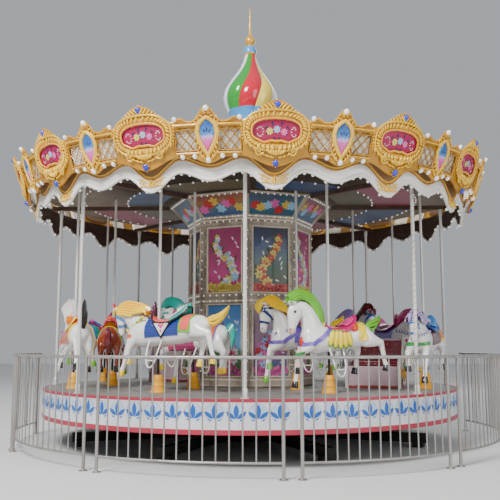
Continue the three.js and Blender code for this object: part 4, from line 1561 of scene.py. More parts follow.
for side in range(SECTORS):
    for share, count, width in ((0.06, 8, 0.33), (0.93, 10, 0.42)):
        for i in range(count):
            place = on_cornice(side, share, lerp(-width, width, i / (count - 1)), 0.012)
            parts.append(ball_at("bulb_white", place, 0.013))
    for i in range(7):
        paint = ("flower_red", "flower_gold", "petal_blue", "petal_pink")[(i + side) % 4]
        place = on_cornice(side, random.uniform(0.3, 0.7), lerp(-0.28, 0.28, i / 6), -0.012)
        bloom = copied(flower_patterns["scene_teal"][0])
        give(bloom, paint, "flower_gold")
        turn = turn_z(COLUMN_PHASE + SECTOR * (side + 0.5)) @ Matrix.Rotation(slope, 4, "X")
        bloom.data.transform(
            Matrix.Translation(place) @ turn @ Matrix.Rotation(i, 4, "Y") @ Matrix.Scale(1.5, 4))
        parts.append(bloom)
    corner = [
        polar(lerp(COLUMN_RADIUS, CORNICE_TOP, share) + 0.004, COLUMN_PHASE + SECTOR * side,
              lerp(CORNICE_FOOT + 0.01, 3.495, share))
        for share in (0, 0.5, 1)]
    parts.append(give(tube("edge", corner, 0.014, 6), "marble_beige"))
parts.append(ring_moulding("cream", COLUMN_RADIUS, CORNICE_FOOT + 0.02, 0.018))
cornice = joined("flared_cornice", parts)
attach(cornice, "turntable")
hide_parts("column_cornice")
dropped(sprig, blade, *[item for kinds in flower_patterns.values() for item in kinds])
print("cornice faces", len(cornice.data.polygons))

# %% [markdown]
# The ceiling is a flat ring with an upstand for the roof. Dark ribs divide it, and each field has
# three painted zones with strings of bulbs. Holes are cut for the poles, which slide through it, with
# one boolean, and the deck gets its rod holes in the same way.

# %% Ceiling
def drill(obj, radius, low, high):
    """Cuts a round hole at every horse's rod."""
    bits = []
    for _, ring, angle, *_ in HORSES:
        clear_choice()
        bpy.ops.mesh.primitive_cylinder_add(
            vertices=20, radius=radius, depth=high - low, location=polar(ring, angle, (low + high) / 2))
        bits.append(settle("bit"))
    bits = joined("bits", bits)
    modify(obj, "BOOLEAN", operation="DIFFERENCE", object=bits, solver="EXACT")
    dropped(bits)
    return obj


CEILING_HOLE = 0.0215
DECK_HOLE = 0.0185
CEILING_TOP = CEILING_LOW + 0.03
UPSTAND_TOP = CEILING_LOW + 0.1
FIELD_LOW = CEILING_LOW - 0.0045
FIELD_HIGH = CEILING_LOW + 0.0005
BULB_HEIGHT = CEILING_LOW - 0.013
BULB_RINGS = ((1.87, 7), (2.51, 10))
ring = turned(
    "ceiling_ring",
    [
        (1.15, CEILING_LOW), (CEILING_RADIUS, CEILING_LOW), (CEILING_RADIUS, UPSTAND_TOP),
        (3.11, UPSTAND_TOP), (3.11, CEILING_TOP), (1.15, CEILING_TOP)],
    steps=112, from_angle=CROWN_PHASE, closed=True)
parts = [give(ring, "inside_brown")]
ZONES = [(1.335, 1.86, ("ceiling_olive", "ceiling_blue")), (1.88, 2.5, ("ceiling_blue", "ceiling_wine")),
         (2.52, 3.08, ("ceiling_lilac", "ceiling_maroon"))]
for sector in range(SECTORS):
    start = POST_PHASE + SECTOR * sector
    for number, (r0, r1, paints) in enumerate(ZONES):
        edge_gap = math.degrees(0.034 / r0)
        profile = [(r0, FIELD_HIGH), (r0, FIELD_LOW), (r1, FIELD_LOW), (r1, FIELD_HIGH)]
        field = turned("field", profile, steps=12, from_angle=start + edge_gap,
                       span=SECTOR - 2 * edge_gap, closed=True)
        parts.append(give(field, paints[(sector + number) % 2]))
    for r, count in BULB_RINGS:
        for i in range(count):
            angle = start + lerp(4, SECTOR - 4, i / (count - 1))
            parts.append(ball_at("bulb_white", polar(r, angle, BULB_HEIGHT), 0.014))
    clear_choice()
    bpy.ops.mesh.primitive_cube_add(size=1, location=(0, -2.17, 3.4705), scale=(0.056, 1.82, 0.061))
    rib = settle("rib")
    modify(rib, "BEVEL", width=0.006, segments=1)
    rib.data.transform(turn_z(start))
    parts.append(give(rib, "inside_brown"))
ceiling = drill(joined("painted_ceiling", parts), CEILING_HOLE, 3.4, 3.7)
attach(ceiling, "turntable")
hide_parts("ceiling")
drill(deck, DECK_HOLE, 0.55, 0.82)
print("ceiling faces", len(ceiling.data.polygons), "deck faces", len(deck.data.polygons))

# %% [markdown]
# The roof cone is sheet metal with standing seams, hidden from the front by the crown. It is a
# turned shell with a tube along each seam.

# %% Roof
ROOF_TOP = 4.75
roof = turned(
    "roof",
    [
        (3.16, ROOF_RIM), (3.166, ROOF_RIM + 0.004), (3.166, ROOF_RIM + 0.018), (0.46, ROOF_TOP - 0.004),
        (0.43, ROOF_TOP), (0.002, ROOF_TOP), (0.002, ROOF_TOP - 0.02), (0.42, ROOF_TOP - 0.02),
        (3.1, ROOF_RIM)],
    steps=96, closed=True)
parts = [give(roof, "roof_sheet")]
SEAMS = 24
for i in range(SEAMS):
    angle = (i + 0.5) * 360 / SEAMS
    line = [
        polar(r, angle, lerp(ROOF_RIM + 0.02, ROOF_TOP, (3.166 - r) / 2.706)) for r in (3.15, 1.8, 0.46)]
    parts.append(give(tube("seam", line, 0.009, 4), "roof_sheet"))
roof = joined("seamed_roof", parts)
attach(roof, "turntable")
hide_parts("roof")
print("roof seams", SEAMS)

# %% [markdown]
# The onion dome has eight bulging gores that wind upwards, painted in turn red, green, white and
# yellow over a light blue foot. A plain spin gives the body. Each point is then pushed
# out in the middle of its gore and turned with its height. The gore's number, taken
# before the turn, picks the paint.

# %% Onion dome
GORES = 8
DOME = [
    (0.29, 4.7503), (0.3, 4.83), (0.312, 4.92), (0.35, 5.01), (0.392, 5.1), (0.415, 5.18), (0.42, 5.246),
    (0.41, 5.32), (0.385, 5.385), (0.345, 5.455), (0.3, 5.52), (0.25, 5.59), (0.2, 5.665), (0.16, 5.735),
    (0.125, 5.81), (0.1, 5.88), (0.086, 5.9495)]
for name, colour in (
        ("gore_red", (200, 24, 48)), ("gore_green", (40, 150, 48)), ("gore_white", (226, 230, 240)),
        ("gore_yellow", (232, 206, 84)), ("gore_blue", (70, 150, 214))):
    painted(name, colour, 0.16, coat=0.7, amount=0.1)


def dome_body():
    body = turned("dome", [(0.0, DOME[0][1])] + DOME + [(0.0, DOME[-1][1])], steps=GORES * 8)
    give(body, "gore_red", "gore_green", "gore_white", "gore_yellow", "gore_blue")
    for face in body.data.polygons:
        angle = math.degrees(math.atan2(face.center.x, -face.center.y)) % 360
        face.material_index = 4 if face.center.z < 4.98 else (3 - int(angle // 45)) % 4

    def rule(place):
        radius = math.hypot(place.x, place.y)
        angle = math.degrees(math.atan2(place.x, -place.y))
        height = max(0.0, (place.z - DOME[0][1]) / (DOME[-1][1] - DOME[0][1]))
        lobe = abs(math.sin(math.radians(angle * GORES / 2)))
        grow = 1 - 0.07 * (1 - lobe ** 0.6)
        return polar(radius * grow, angle + 8 + 58 * height ** 1.5, place.z)

    reshape(body, rule)
    return smooth(body, 24)


dome = joined("gored_dome", [dome_body()])
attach(dome, "turntable")
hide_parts("onion_dome")
FINIAL = [
    (0, 5.9505), (0.09, 5.9505), (0.1, 5.97), (0.104, 6.02), (0.09, 6.075), (0.05, 6.1), (0.045, 6.115),
    (0.06, 6.135), (0.08, 6.165), (0.085, 6.195), (0.08, 6.22), (0.055, 6.25), (0.03, 6.27), (0.022, 6.3),
    (0.018, 6.4), (0.014, 6.55), (0.009, 6.7), (0.0035, 6.795), (0, SPIRE_TOP)]
spire = turned("finial", FINIAL, steps=32)
give(spire, "gold_bright", "gore_blue")
for face in spire.data.polygons:
    if 5.965 < face.center.z < 6.09:
        face.material_index = 1
spire = joined("spire_finial", [smooth(spire, 40)])
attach(spire, "turntable")
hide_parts("finial")
print("dome faces", len(dome.data.polygons), "finial faces", len(spire.data.polygons))

# %% [markdown]
# The fence is welded tube: a round top rail, a thinner bottom rail, thin bars and a post with a round
# foot at each end of a bay. Rails are tubes along the arc and bars are cylinders. Each bay is made on
# its own, as their lengths differ.

# %% Fence
FENCE_JOINTS = [-100, -67, -32, 5.6, 39.5, 72, 106]
BARS = 14
POST_INSET = 1.6
RAIL_RADIUS = 0.0198
LOW_RAIL_RADIUS = 0.0135
BAR_RADIUS = 0.0085
FENCE_FOOT = [
    (0, 0.0002), (0.05, 0.0002), (0.05, 0.007), (0.046, 0.009), (0.024, 0.009), (0.021, 0.016), (0, 0.016)]


def fence_place(degrees, z):
    return FENCE_CENTRE + polar(FENCE_RADIUS, degrees, z)


def upright(degrees, z0, z1, radius, sides):
    clear_choice()
    bpy.ops.mesh.primitive_cylinder_add(
        vertices=sides, radius=radius, depth=z1 - z0, location=fence_place(degrees, (z0 + z1) / 2))
    return give(smooth(settle("upright"), 50), "galvanised")


def fence_bay(k):
    start, end = FENCE_JOINTS[k], FENCE_JOINTS[k + 1]
    first, last = start + POST_INSET, end - POST_INSET
    top = FENCE_TOP - 0.02
    rail = [fence_place(lerp(start + 0.02, end - 0.02, i / 24), top) for i in range(25)]
    low_rail = [fence_place(lerp(first, last, i / 24), FENCE_RAIL) for i in range(25)]
    parts = [give(tube("top_rail", rail, RAIL_RADIUS, 10), "galvanised"),
             give(tube("low_rail", low_rail, LOW_RAIL_RADIUS, 8), "galvanised")]
    for angle in (first, last):
        parts.append(upright(angle, 0.004, top, 0.019, 14))
        foot = turned("foot", FENCE_FOOT, steps=20)
        foot.data.transform(Matrix.Translation(fence_place(angle, 0)))
        parts.append(give(foot, "galvanised"))
        for i in range(3):
            spot = fence_place(angle, 0.011) + polar(0.036, 120 * i + angle)
            clear_choice()
            bpy.ops.mesh.primitive_cylinder_add(vertices=6, radius=0.0055, depth=0.007, location=spot)
            parts.append(give(settle("bolt"), "rod_dark"))
        parts.append(ball_at("galvanised", fence_place(angle, top), 0.0225))
    for i in range(1, BARS + 1):
        angle = lerp(first, last, i / (BARS + 1))
        parts.append(upright(angle, FENCE_RAIL, top, BAR_RADIUS, 8))
        parts.append(ball_at("galvanised", fence_place(angle, FENCE_RAIL), 0.0155))
    return joined(f"tube_fence_{k + 1}", parts)


for k in range(len(FENCE_JOINTS) - 1):
    bay = fence_bay(k)
    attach(bay, "base")
    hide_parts(f"fence_bay_{k + 1}")
print("fence bays", len(FENCE_JOINTS) - 1)

# %% [markdown]
# A galloping horse is a moulded shell, so it is modelled like clay: body, neck, head and legs are
# lofted on their own, and a voxel remesh melts them into one skin, which is smoothed and thinned.
# There are two moulds, as on the ride: one arches its neck, the other is longer and carries it low.
# Each heads along +X about its pole and is used again with its own harness and paint.

# %% Stations of the two moulds
LIMB_FOOT = 0.075
ARCHED = {
    "torso": [
        (-0.605, 0, 0.05, 0.03, 0.04), (-0.58, 0, 0.055, 0.08, 0.09), (-0.5, 0, 0.045, 0.128, 0.14),
        (-0.4, 0, 0.018, 0.152, 0.165), (-0.27, 0, -0.008, 0.15, 0.155), (-0.12, 0, -0.03, 0.145, 0.146),
        (0.04, 0, -0.035, 0.143, 0.158), (0.18, 0, -0.03, 0.146, 0.186), (0.28, 0, -0.02, 0.136, 0.182),
        (0.345, 0, -0.022, 0.108, 0.145), (0.39, 0, -0.02, 0.052, 0.075)],
    "neck": [
        (0.2, 0, 0.01, 0.115, 0.16), (0.24, 0, 0.11, 0.1, 0.148), (0.272, 0, 0.205, 0.088, 0.122),
        (0.32, 0, 0.3, 0.077, 0.102), (0.385, 0, 0.36, 0.065, 0.086), (0.455, 0, 0.38, 0.055, 0.068)],
    "raised": [
        (0.26, 0.075, -0.03, 0.06, 0.1), (0.33, 0.088, -0.11, 0.062, 0.082),
        (0.42, 0.096, -0.165, 0.046, 0.052), (0.492, 0.1, -0.195, 0.04, 0.044),
        (0.503, 0.1, -0.25, 0.031, 0.033), (0.5, 0.1, -0.33, 0.026, 0.028),
        (0.498, 0.1, -0.37, 0.033, 0.035)],
    "reaching": [
        (0.25, -0.075, -0.02, 0.06, 0.1), (0.315, -0.088, -0.13, 0.06, 0.078),
        (0.355, -0.096, -0.23, 0.044, 0.05), (0.388, -0.1, -0.33, 0.038, 0.042),
        (0.402, -0.1, -0.42, 0.029, 0.031), (0.418, -0.1, -0.51, 0.026, 0.028),
        (0.426, -0.1, -0.55, 0.034, 0.035)],
    "raised_hoof": ((0.498, 0.1, -0.365), (0.493, 0.1, -0.445)),
    "reaching_hoof": ((0.425, -0.1, -0.545), (0.436, -0.1, -0.625)),
    "hip": -0.43,
    "crest": [
        (0.56, 0.45), (0.5, 0.5), (0.42, 0.515), (0.33, 0.5), (0.245, 0.445), (0.175, 0.355),
        (0.135, 0.26), (0.11, 0.175)],
}
LOW = {
    "torso": [
        (-0.775, 0, -0.01, 0.03, 0.045), (-0.75, 0, 0.0, 0.085, 0.095), (-0.67, 0, 0.012, 0.125, 0.138),
        (-0.56, 0, 0.0, 0.15, 0.165), (-0.43, 0, -0.02, 0.152, 0.168), (-0.3, 0, -0.045, 0.148, 0.16),
        (-0.17, 0, -0.057, 0.145, 0.155), (-0.02, 0, -0.06, 0.145, 0.165),
        (0.12, 0, -0.055, 0.147, 0.182), (0.26, 0, -0.05, 0.145, 0.185), (0.36, 0, -0.055, 0.125, 0.165),
        (0.43, 0, -0.06, 0.09, 0.12), (0.475, 0, -0.06, 0.04, 0.06)],
    "neck": [
        (0.22, 0, 0.0, 0.115, 0.165), (0.3, 0, 0.045, 0.105, 0.165), (0.37, 0, 0.095, 0.095, 0.15),
        (0.43, 0, 0.14, 0.086, 0.13), (0.49, 0, 0.178, 0.075, 0.112), (0.555, 0, 0.205, 0.064, 0.092),
        (0.615, 0, 0.22, 0.055, 0.068)],
    "raised": [
        (0.3, -0.075, -0.05, 0.06, 0.1), (0.39, -0.088, -0.13, 0.062, 0.082),
        (0.49, -0.096, -0.185, 0.046, 0.052), (0.558, -0.1, -0.217, 0.04, 0.044),
        (0.566, -0.1, -0.28, 0.031, 0.033), (0.56, -0.1, -0.355, 0.026, 0.028),
        (0.557, -0.1, -0.39, 0.033, 0.035)],
    "reaching": [
        (0.29, 0.075, -0.05, 0.06, 0.1), (0.36, 0.088, -0.15, 0.06, 0.078),
        (0.405, 0.096, -0.25, 0.044, 0.05), (0.44, 0.1, -0.35, 0.038, 0.042),
        (0.463, 0.1, -0.42, 0.029, 0.031), (0.493, 0.1, -0.495, 0.026, 0.028),
        (0.508, 0.1, -0.53, 0.034, 0.035)],
    "raised_hoof": ((0.556, -0.1, -0.385), (0.552, -0.1, -0.46)),
    "reaching_hoof": ((0.506, 0.1, -0.525), (0.53, 0.1, -0.602)),
    "hip": -0.545,
    "crest": [
        (0.665, 0.3), (0.6, 0.325), (0.5, 0.335), (0.4, 0.335), (0.3, 0.325), (0.21, 0.27), (0.15, 0.215),
        (0.115, 0.17)],
}
HEAD = [
    (0.445, 0, 0.405, 0.046, 0.045), (0.475, 0, 0.365, 0.06, 0.075), (0.492, 0, 0.305, 0.065, 0.09),
    (0.504, 0, 0.245, 0.06, 0.084), (0.515, 0, 0.185, 0.049, 0.064), (0.522, 0, 0.13, 0.044, 0.053),
    (0.528, 0, 0.085, 0.046, 0.05), (0.529, 0, 0.048, 0.04, 0.042), (0.528, 0, 0.026, 0.018, 0.02)]
JAW = [
    (0.46, 0.03, 0.34, 0.026, 0.05), (0.472, 0.035, 0.285, 0.034, 0.07),
    (0.488, 0.03, 0.215, 0.03, 0.055), (0.505, 0.02, 0.14, 0.02, 0.034)]
HIND = {
    "stretched": (-0.29, -0.075, -0.365, -0.43),
    "gathered": (-0.18, -0.19, -0.13, -0.47),
    "far": (-0.065, -0.19, -0.025, -0.47),
}
LOW_HEAD = (
    Matrix.Translation((0.605, 0, 0.262)) @ Matrix.Rotation(math.radians(12.8), 4, "Y")
    @ Matrix.Scale(0.92, 4) @ Matrix.Translation((-0.45, 0, -0.405)))
HEAD_PLACE = {"arched": Matrix.Identity(4), "low": LOW_HEAD}
MOULDS = {"arched": ARCHED, "low": LOW}
print("moulds", list(MOULDS))

# %% Horse skins
def hind_leg(hip, side, stance):
    """Stations of a hind leg from the hip over the hock to the foot."""
    hock_x, hock_z, foot_x, foot_z = HIND[stance]
    return [
        (hip, side * 0.08, 0.03, 0.06, 0.13),
        (hip + 0.3 * hock_x, side * 0.098, 0.35 * hock_z, 0.074, 0.114),
        (hip + 0.65 * hock_x, side * 0.103, 0.72 * hock_z, 0.057, 0.075),
        (hip + hock_x, side * 0.105, hock_z, 0.041, 0.049),
        (hip + lerp(hock_x, foot_x, 0.3), side * 0.105, lerp(hock_z, foot_z, 0.27), 0.03, 0.034),
        (hip + lerp(hock_x, foot_x, 0.75), side * 0.105, lerp(hock_z, foot_z, 0.68), 0.026, 0.029),
        (hip + foot_x, side * 0.105, foot_z + LIMB_FOOT, 0.034, 0.036)]


def head_stations(stations, mould, side=1):
    place = HEAD_PLACE[mould]
    scale = place.to_scale()[0]
    return [
        (*(place @ Vector((x, side * y, z))), wide * scale, high * scale)
        for x, y, z, wide, high in stations]


VOXEL = 0.009
KEPT_SHARE = 0.125


def horse_skin(mould, stance):
    shape = MOULDS[mould]
    limbs = [shape[key] for key in ("torso", "neck", "raised", "reaching")]
    limbs += [hind_leg(shape["hip"], 1, stance), hind_leg(shape["hip"], -1, "far")]
    limbs.append(head_stations(HEAD, mould))
    limbs += [head_stations(JAW, mould, side) for side in (-1, 1)]
    skin = joined("skin", [loft("limb", stations, 16) for stations in limbs])
    modify(skin, "REMESH", mode="VOXEL", voxel_size=VOXEL)
    modify(skin, "SMOOTH", factor=0.6, iterations=7)
    modify(skin, "DECIMATE", ratio=KEPT_SHARE)
    return smooth(skin, 70)


SKINS = {
    (mould, stance): horse_skin(mould, stance) for mould in MOULDS for stance in ("stretched", "gathered")}
print("skin faces", {key: len(skin.data.polygons) for key, skin in SKINS.items()})

# %% [markdown]
# Blanket, drapes, straps and bridle lie on the coat. Each is a copy of the skin cut off by planes with
# bisect, then fattened and given a thickness, so that it follows the body exactly.

# %% Harness cut from the skins
def cut(name, skin, planes, out, thickness=0.004):
    """A piece of the skin on the inner side of all planes (point, normal), moved out and thickened."""
    cloth = copied(skin)
    cloth.name = name
    for point, normal in planes:
        edit(cloth)
        bpy.ops.mesh.bisect(plane_co=point, plane_no=normal, clear_outer=True)
    edit(cloth)
    bpy.ops.transform.shrink_fatten(value=out)
    clear_choice()
    modify(cloth, "SOLIDIFY", thickness=thickness, offset=1)
    return smooth(cloth, 50)


def slab(point, normal, width):
    """Two planes that keep a strip of a width about a point, square to a direction."""
    direction = Vector(normal).normalized()
    return [
        (Vector(point) + direction * width / 2, direction),
        (Vector(point) - direction * width / 2, -direction)]


def before(x):
    return ((x, 0, 0), (1, 0, 0))


def behind(x):
    return ((x, 0, 0), (-1, 0, 0))


def above(z):
    return ((0, 0, z), (0, 0, -1))


def on_head(planes, mould):
    turn = HEAD_PLACE[mould].to_3x3()
    return [
        (HEAD_PLACE[mould] @ Vector(point), (turn @ Vector(normal)).normalized())
        for point, normal in planes]


NOSE_BAND = slab((0.52, 0, 0.165), (0.2, 0, -1), 0.028) + [((0.44, 0, 0), (-1, 0, 0))]
CHEEK_BAND = slab((0.49, 0, 0.27), (0.62, 0, -0.78), 0.034) + [
    ((0, 0, 0.2), (0, 0, -1)), ((0.39, 0, 0), (-1, 0, 0))]
MUZZLE = [((0.52, 0, 0.098), (-0.25, 0, 1)), ((0.47, 0, 0), (-1, 0, 0))]
BROW_BAND = slab((0.5, 0, 0.352), (0.1, 0, 1), 0.024) + [((0.42, 0, 0), (-1, 0, 0))]
CUTS = {
    "arched": {
        "blanket": ([before(0.13), behind(-0.335), above(-0.1)], 0.004),
        "breast_drape": ([before(0.33), behind(-0.12), above(-0.17)], 0.004),
        "rump_edge": ([before(-0.355), behind(-0.49), above(-0.045)], 0.004),
        "rump_cloth": ([before(-0.375), behind(-0.47), above(-0.015)], 0.008),
        "strap": (slab((0.11, 0, 0.035), (0.55, 0, 0.83), 0.055) + [before(0.3), behind(-0.06)], 0.005),
        "chest_band": (slab((0.33, 0, -0.085), (0.15, 0, 1), 0.04) + [behind(0.265)], 0.006),
        "knee_band": (
            slab((0.49, 0.1, -0.205), (0.2, 0, 1), 0.034) + [behind(0.43), ((0, 0.03, 0), (0, -1, 0))],
            0.004),
    },
    "low": {
        "blanket": ([before(0.115), behind(-0.405), ((0, 0, -0.115), (-0.06, 0, -1))], 0.004),
        "breast_drape": ([before(0.36), behind(-0.12), above(-0.17)], 0.004),
        "rump_edge": ([before(-0.41), behind(-0.6), above(-0.06)], 0.004),
        "rump_cloth": ([before(-0.44), behind(-0.57), above(-0.025)], 0.008),
        "strap": (slab((0.25, 0, 0.05), (0.55, 0, 0.83), 0.045) + [before(0.44), behind(0.11)], 0.005),
        "chest_band": (slab((0.42, 0, -0.105), (0.1, 0, 1), 0.042) + [behind(0.33)], 0.006),
        "knee_band": (
            slab((0.555, -0.1, -0.225), (0.2, 0, 1), 0.034) + [behind(0.49), ((0, -0.03, 0), (0, 1, 0))],
            0.004),
    },
}
PARTS = {}
for mould in MOULDS:
    skin = SKINS[mould, "gathered"]
    for item, (planes, out) in CUTS[mould].items():
        PARTS[mould, item] = cut(item, skin, planes, out)
    for item, planes in (("nose_band", NOSE_BAND), ("cheek_band", CHEEK_BAND), ("brow_band", BROW_BAND)):
        PARTS[mould, item] = cut(item, skin, on_head(planes, mould), 0.004)
    PARTS[mould, "muzzle"] = cut("muzzle", skin, on_head(MUZZLE, mould), 0.001, 0.0015)
print("harness", {" ".join(key): len(obj.data.polygons) for key, obj in PARTS.items()})

# %% [markdown]
# Hooves are short cones with a bevelled rim, set along each leg. The saddle is a sheet, a grid bent
# over the back that rises into a scooped cantle. Mane and tail are locks: tapered tubes side by
# side, which either wave along the neck or lie as a roll on its crest.

# %% Paint of the horses
def coat(name, colour, roughness=0.18):
    painted(name, colour, roughness, coat=0.6, amount=0.12, scale=5.0)


coat("coat_white", (236, 234, 230))
coat("coat_brown", (150, 62, 34))
coat("coat_cream", (226, 208, 170))
coat("eye_black", (12, 10, 12), 0.08)
painted("muzzle_pink", (226, 190, 178), 0.35, amount=0.1)
painted("nostril", (110, 60, 64), 0.4, amount=0.1)
GLOSS = {
    "yellow": (252, 208, 8),
    "amber": (232, 138, 14),
    "lime": (104, 182, 36),
    "teal": (14, 168, 152),
    "navy": (24, 44, 120),
    "pink": (226, 60, 136),
    "magenta": (200, 12, 106),
    "red": (214, 40, 30),
    "green": (42, 148, 62),
    "purple": (112, 88, 184),
    "lilac": (176, 158, 214),
    "blue": (28, 104, 196),
    "sky": (66, 150, 226),
    "black": (24, 22, 26),
    "crimson": (104, 10, 24),
    "coral": (236, 92, 84),
    "orange": (234, 98, 26),
    "plum": (92, 30, 62),
    "sun": (250, 220, 22),
    "white": (228, 226, 224),
}
for name, colour in GLOSS.items():
    painted("gloss_" + name, colour, 0.2, coat=0.5, amount=0.12, scale=6.0)


def ribbed(name, colour):
    """A blanket with level ribs, darkened to half its colour in the grooves as painted shade."""
    wires, shader = finish(name, 0.3, coat=0.3)
    height = wires.add("SeparateXYZ", Vector=wires.add("TexCoord").outputs["Object"]).outputs["Z"]
    swing = wires.math("SINE", wires.math("MULTIPLY", height, 330.0))
    rib = wires.math("ADD", 0.5, wires.math("MULTIPLY", swing, 0.5))
    # The grooves between the ribs get half the colour: painted shade.
    paint = wires.mix(rib, tone(*[int(v * 0.5) for v in colour]), tone(*colour))
    weather(wires, shader, paint, 0.3, amount=0.12)
    relief = wires.add("Bump", Height=rib, Distance=0.004, Strength=0.8)
    wires.feed(shader.inputs["Normal"], relief.outputs[0])


ribbed("ribbed_navy", (36, 70, 170))
ribbed("ribbed_pink", (232, 74, 150))
print("horse paints", len(PAINTS))

# %% Hooves and faces
def cone(name, top, foot, r_top, r_foot, sides=14):
    """A cone between two places."""
    start, end = Vector(top), Vector(foot)
    clear_choice()
    bpy.ops.mesh.primitive_cone_add(
        vertices=sides, radius1=r_foot, radius2=r_top, depth=(end - start).length,
        location=(start + end) / 2, rotation=(start - end).to_track_quat("Z", "Y").to_euler())
    return settle(name)


def hooves(mould, stance):
    shape = MOULDS[mould]
    ends = [shape["raised_hoof"], shape["reaching_hoof"]]
    for side, pose in ((1, stance), (-1, "far")):
        x = shape["hip"] + HIND[pose][2]
        z = HIND[pose][3]
        ends.append(((x - 0.002, side * 0.105, z + LIMB_FOOT + 0.005), (x + 0.012, side * 0.105, z)))
    made = [
        modify(cone("hoof", top, foot, 0.035, 0.046), "BEVEL", width=0.006, segments=2)
        for top, foot in ends]
    return smooth(joined("hooves", made), 45)


def dot(paint, at, size, turn=0.0, axis="Z", pattern=BALL):
    """A ball sized along x, y and z, turned and put in its place."""
    place = Matrix.Translation(at) @ Matrix.Rotation(turn, 4, axis)
    return give(copied(pattern, place @ Matrix.Diagonal((*size, 1))), paint)


def face_parts(mould, colour):
    parts = []
    for side in (-1, 1):
        turn = side * 0.2
        parts.append(dot("gloss_white", (0.51, side * 0.0555, 0.3), (0.028, 0.012, 0.022), turn))
        parts.append(dot("eye_black", (0.514, side * 0.0605, 0.3), (0.0215, 0.0115, 0.0185), turn))
        parts.append(dot("nostril", (0.568, side * 0.031, 0.088), (0.008, 0.009, 0.014)))
        lip = [(0.572, side * 0.014, 0.058), (0.552, side * 0.036, 0.054), (0.522, side * 0.042, 0.07)]
        parts.append(give(tube("mouth", lip, 0.0045, 6), "nostril"))
        lid = [
            (0.478, side * 0.062, 0.303), (0.498, side * 0.068, 0.324), (0.524, side * 0.062, 0.322),
            (0.541, side * 0.05, 0.302)]
        parts.append(give(tube("lid", lid, 0.0055, 6), colour))
        ear = cone("ear", (0.61, side * 0.055, 0.425), (0.505, side * 0.036, 0.408), 0.004, 0.026, 10)
        parts.append(give(smooth(ear, 60), colour))
    face = joined("face", parts)
    face.data.transform(HEAD_PLACE[mould])
    return face


print("faces for", len(MOULDS), "moulds")

# %% Foot rests
def foot_rest(side):
    loop = [
        (0.06, 0.08, -0.1), (0.05, 0.19, -0.3), (0.02, 0.215, -0.45), (-0.04, 0.225, -0.5),
        (-0.1, 0.215, -0.45), (-0.13, 0.19, -0.3), (-0.14, 0.075, -0.09)]
    parts = [tube("loop", [(x, side * y, z) for x, y, z in loop], 0.0105, 8)]
    parts.append(tube("bar", [(0.03, side * 0.208, -0.4), (-0.112, side * 0.208, -0.4)], 0.009, 8))
    return give(joined("foot_rest", parts), "white_gloss")

# %% Saddles
# x, height on the middle, half width, height at the edge
SADDLE = {
    "arched": [
        (0.04, 0.14, 0.07, 0.125), (-0.02, 0.125, 0.12, 0.085), (-0.1, 0.12, 0.145, 0.06),
        (-0.18, 0.13, 0.148, 0.07), (-0.26, 0.168, 0.13, 0.11), (-0.33, 0.225, 0.1, 0.17),
        (-0.375, 0.272, 0.055, 0.24)],
    "low": [
        (0.075, 0.16, 0.05, 0.17), (0.02, 0.125, 0.11, 0.1), (-0.06, 0.115, 0.145, 0.066),
        (-0.17, 0.115, 0.152, 0.06), (-0.28, 0.14, 0.148, 0.075), (-0.38, 0.2, 0.125, 0.125),
        (-0.455, 0.275, 0.085, 0.19), (-0.485, 0.3, 0.05, 0.25)],
}


def at_station(stations, share):
    place = share * (len(stations) - 1)
    first = min(int(place), len(stations) - 2)
    return [lerp(a, b, place - first) for a, b in zip(stations[first], stations[first + 1])]


def saddle_sheet(mould, first, last, shrink=1.0, lift=0.0, thickness=0.016):
    """A part of the saddle between two shares of its length, as a bent and thickened grid."""
    clear_choice()
    bpy.ops.mesh.primitive_grid_add(x_subdivisions=14, y_subdivisions=12, size=2)
    sheet = settle("saddle")

    def bent(p):
        x, middle, half, edge = at_station(SADDLE[mould], lerp(first, last, (p.x + 1) / 2))
        across = p.y * shrink
        return Vector((
            x, half * math.sin(across * math.pi / 2), lerp(middle, edge, abs(across) ** 1.8) + lift))

    reshape(sheet, bent)
    modify(sheet, "SOLIDIFY", thickness=thickness, offset=1)
    modify(sheet, "BEVEL", width=0.004, segments=2)
    return smooth(outward(sheet), 50)


def saddle_rim(mould):
    side_path = [(x, half + 0.004, edge) for x, middle, half, edge in SADDLE[mould]]
    path = side_path + [(x, -y, z) for x, y, z in side_path[::-1]]
    return tube("rim", path, 0.011, 8, cyclic=True)


def pommel():
    stations = [
        (0.085, 0, 0.1, 0.055, 0.03), (0.08, 0, 0.18, 0.05, 0.027), (0.072, 0, 0.27, 0.036, 0.022),
        (0.068, 0, 0.318, 0.022, 0.017), (0.066, 0, 0.335, 0.008, 0.006)]
    parts = [loft("blade", stations, 14)]
    for side in (-1, 1):
        wing = Matrix.Translation((0.075, side * 0.045, 0.215)) @ Matrix.Diagonal((0.022, 0.026, 0.05, 1))
        parts.append(copied(BALL, wing))
    return smooth(joined("pommel", parts), 60)


def knob():
    parts = [
        copied(BALL, Matrix.Translation((0.09, 0, 0.155)) @ Matrix.Diagonal((0.034, 0.045, 0.05, 1))),
        copied(BALL, Matrix.Translation((0.1, 0, 0.2)) @ Matrix.Diagonal((0.024, 0.03, 0.034, 1)))]
    return smooth(joined("knob", parts), 60)


PARTS |= {"pommel": pommel(), "knob": knob()}
for mould in MOULDS:
    for item, shares in (("seat", (0.0, 0.62)), ("cantle", (0.55, 1.0, 1.04, 0.006, 0.036)),
                         ("scoop", (0.5, 0.82, 0.66, 0.036, 0.014))):
        PARTS[mould, item] = saddle_sheet(mould, *shares)
    PARTS[mould, "rim"] = saddle_rim(mould)
for key in SKINS:
    PARTS[key] = hooves(*key)
print("saddles and hooves", len(PARTS))

# %% Locks of hair
def lock(points, radius, taper=None):
    ends = taper or [0.45] + [1.0] * (len(points) - 2) + [0.25]
    return tube("lock", points, radius, 6, ends)


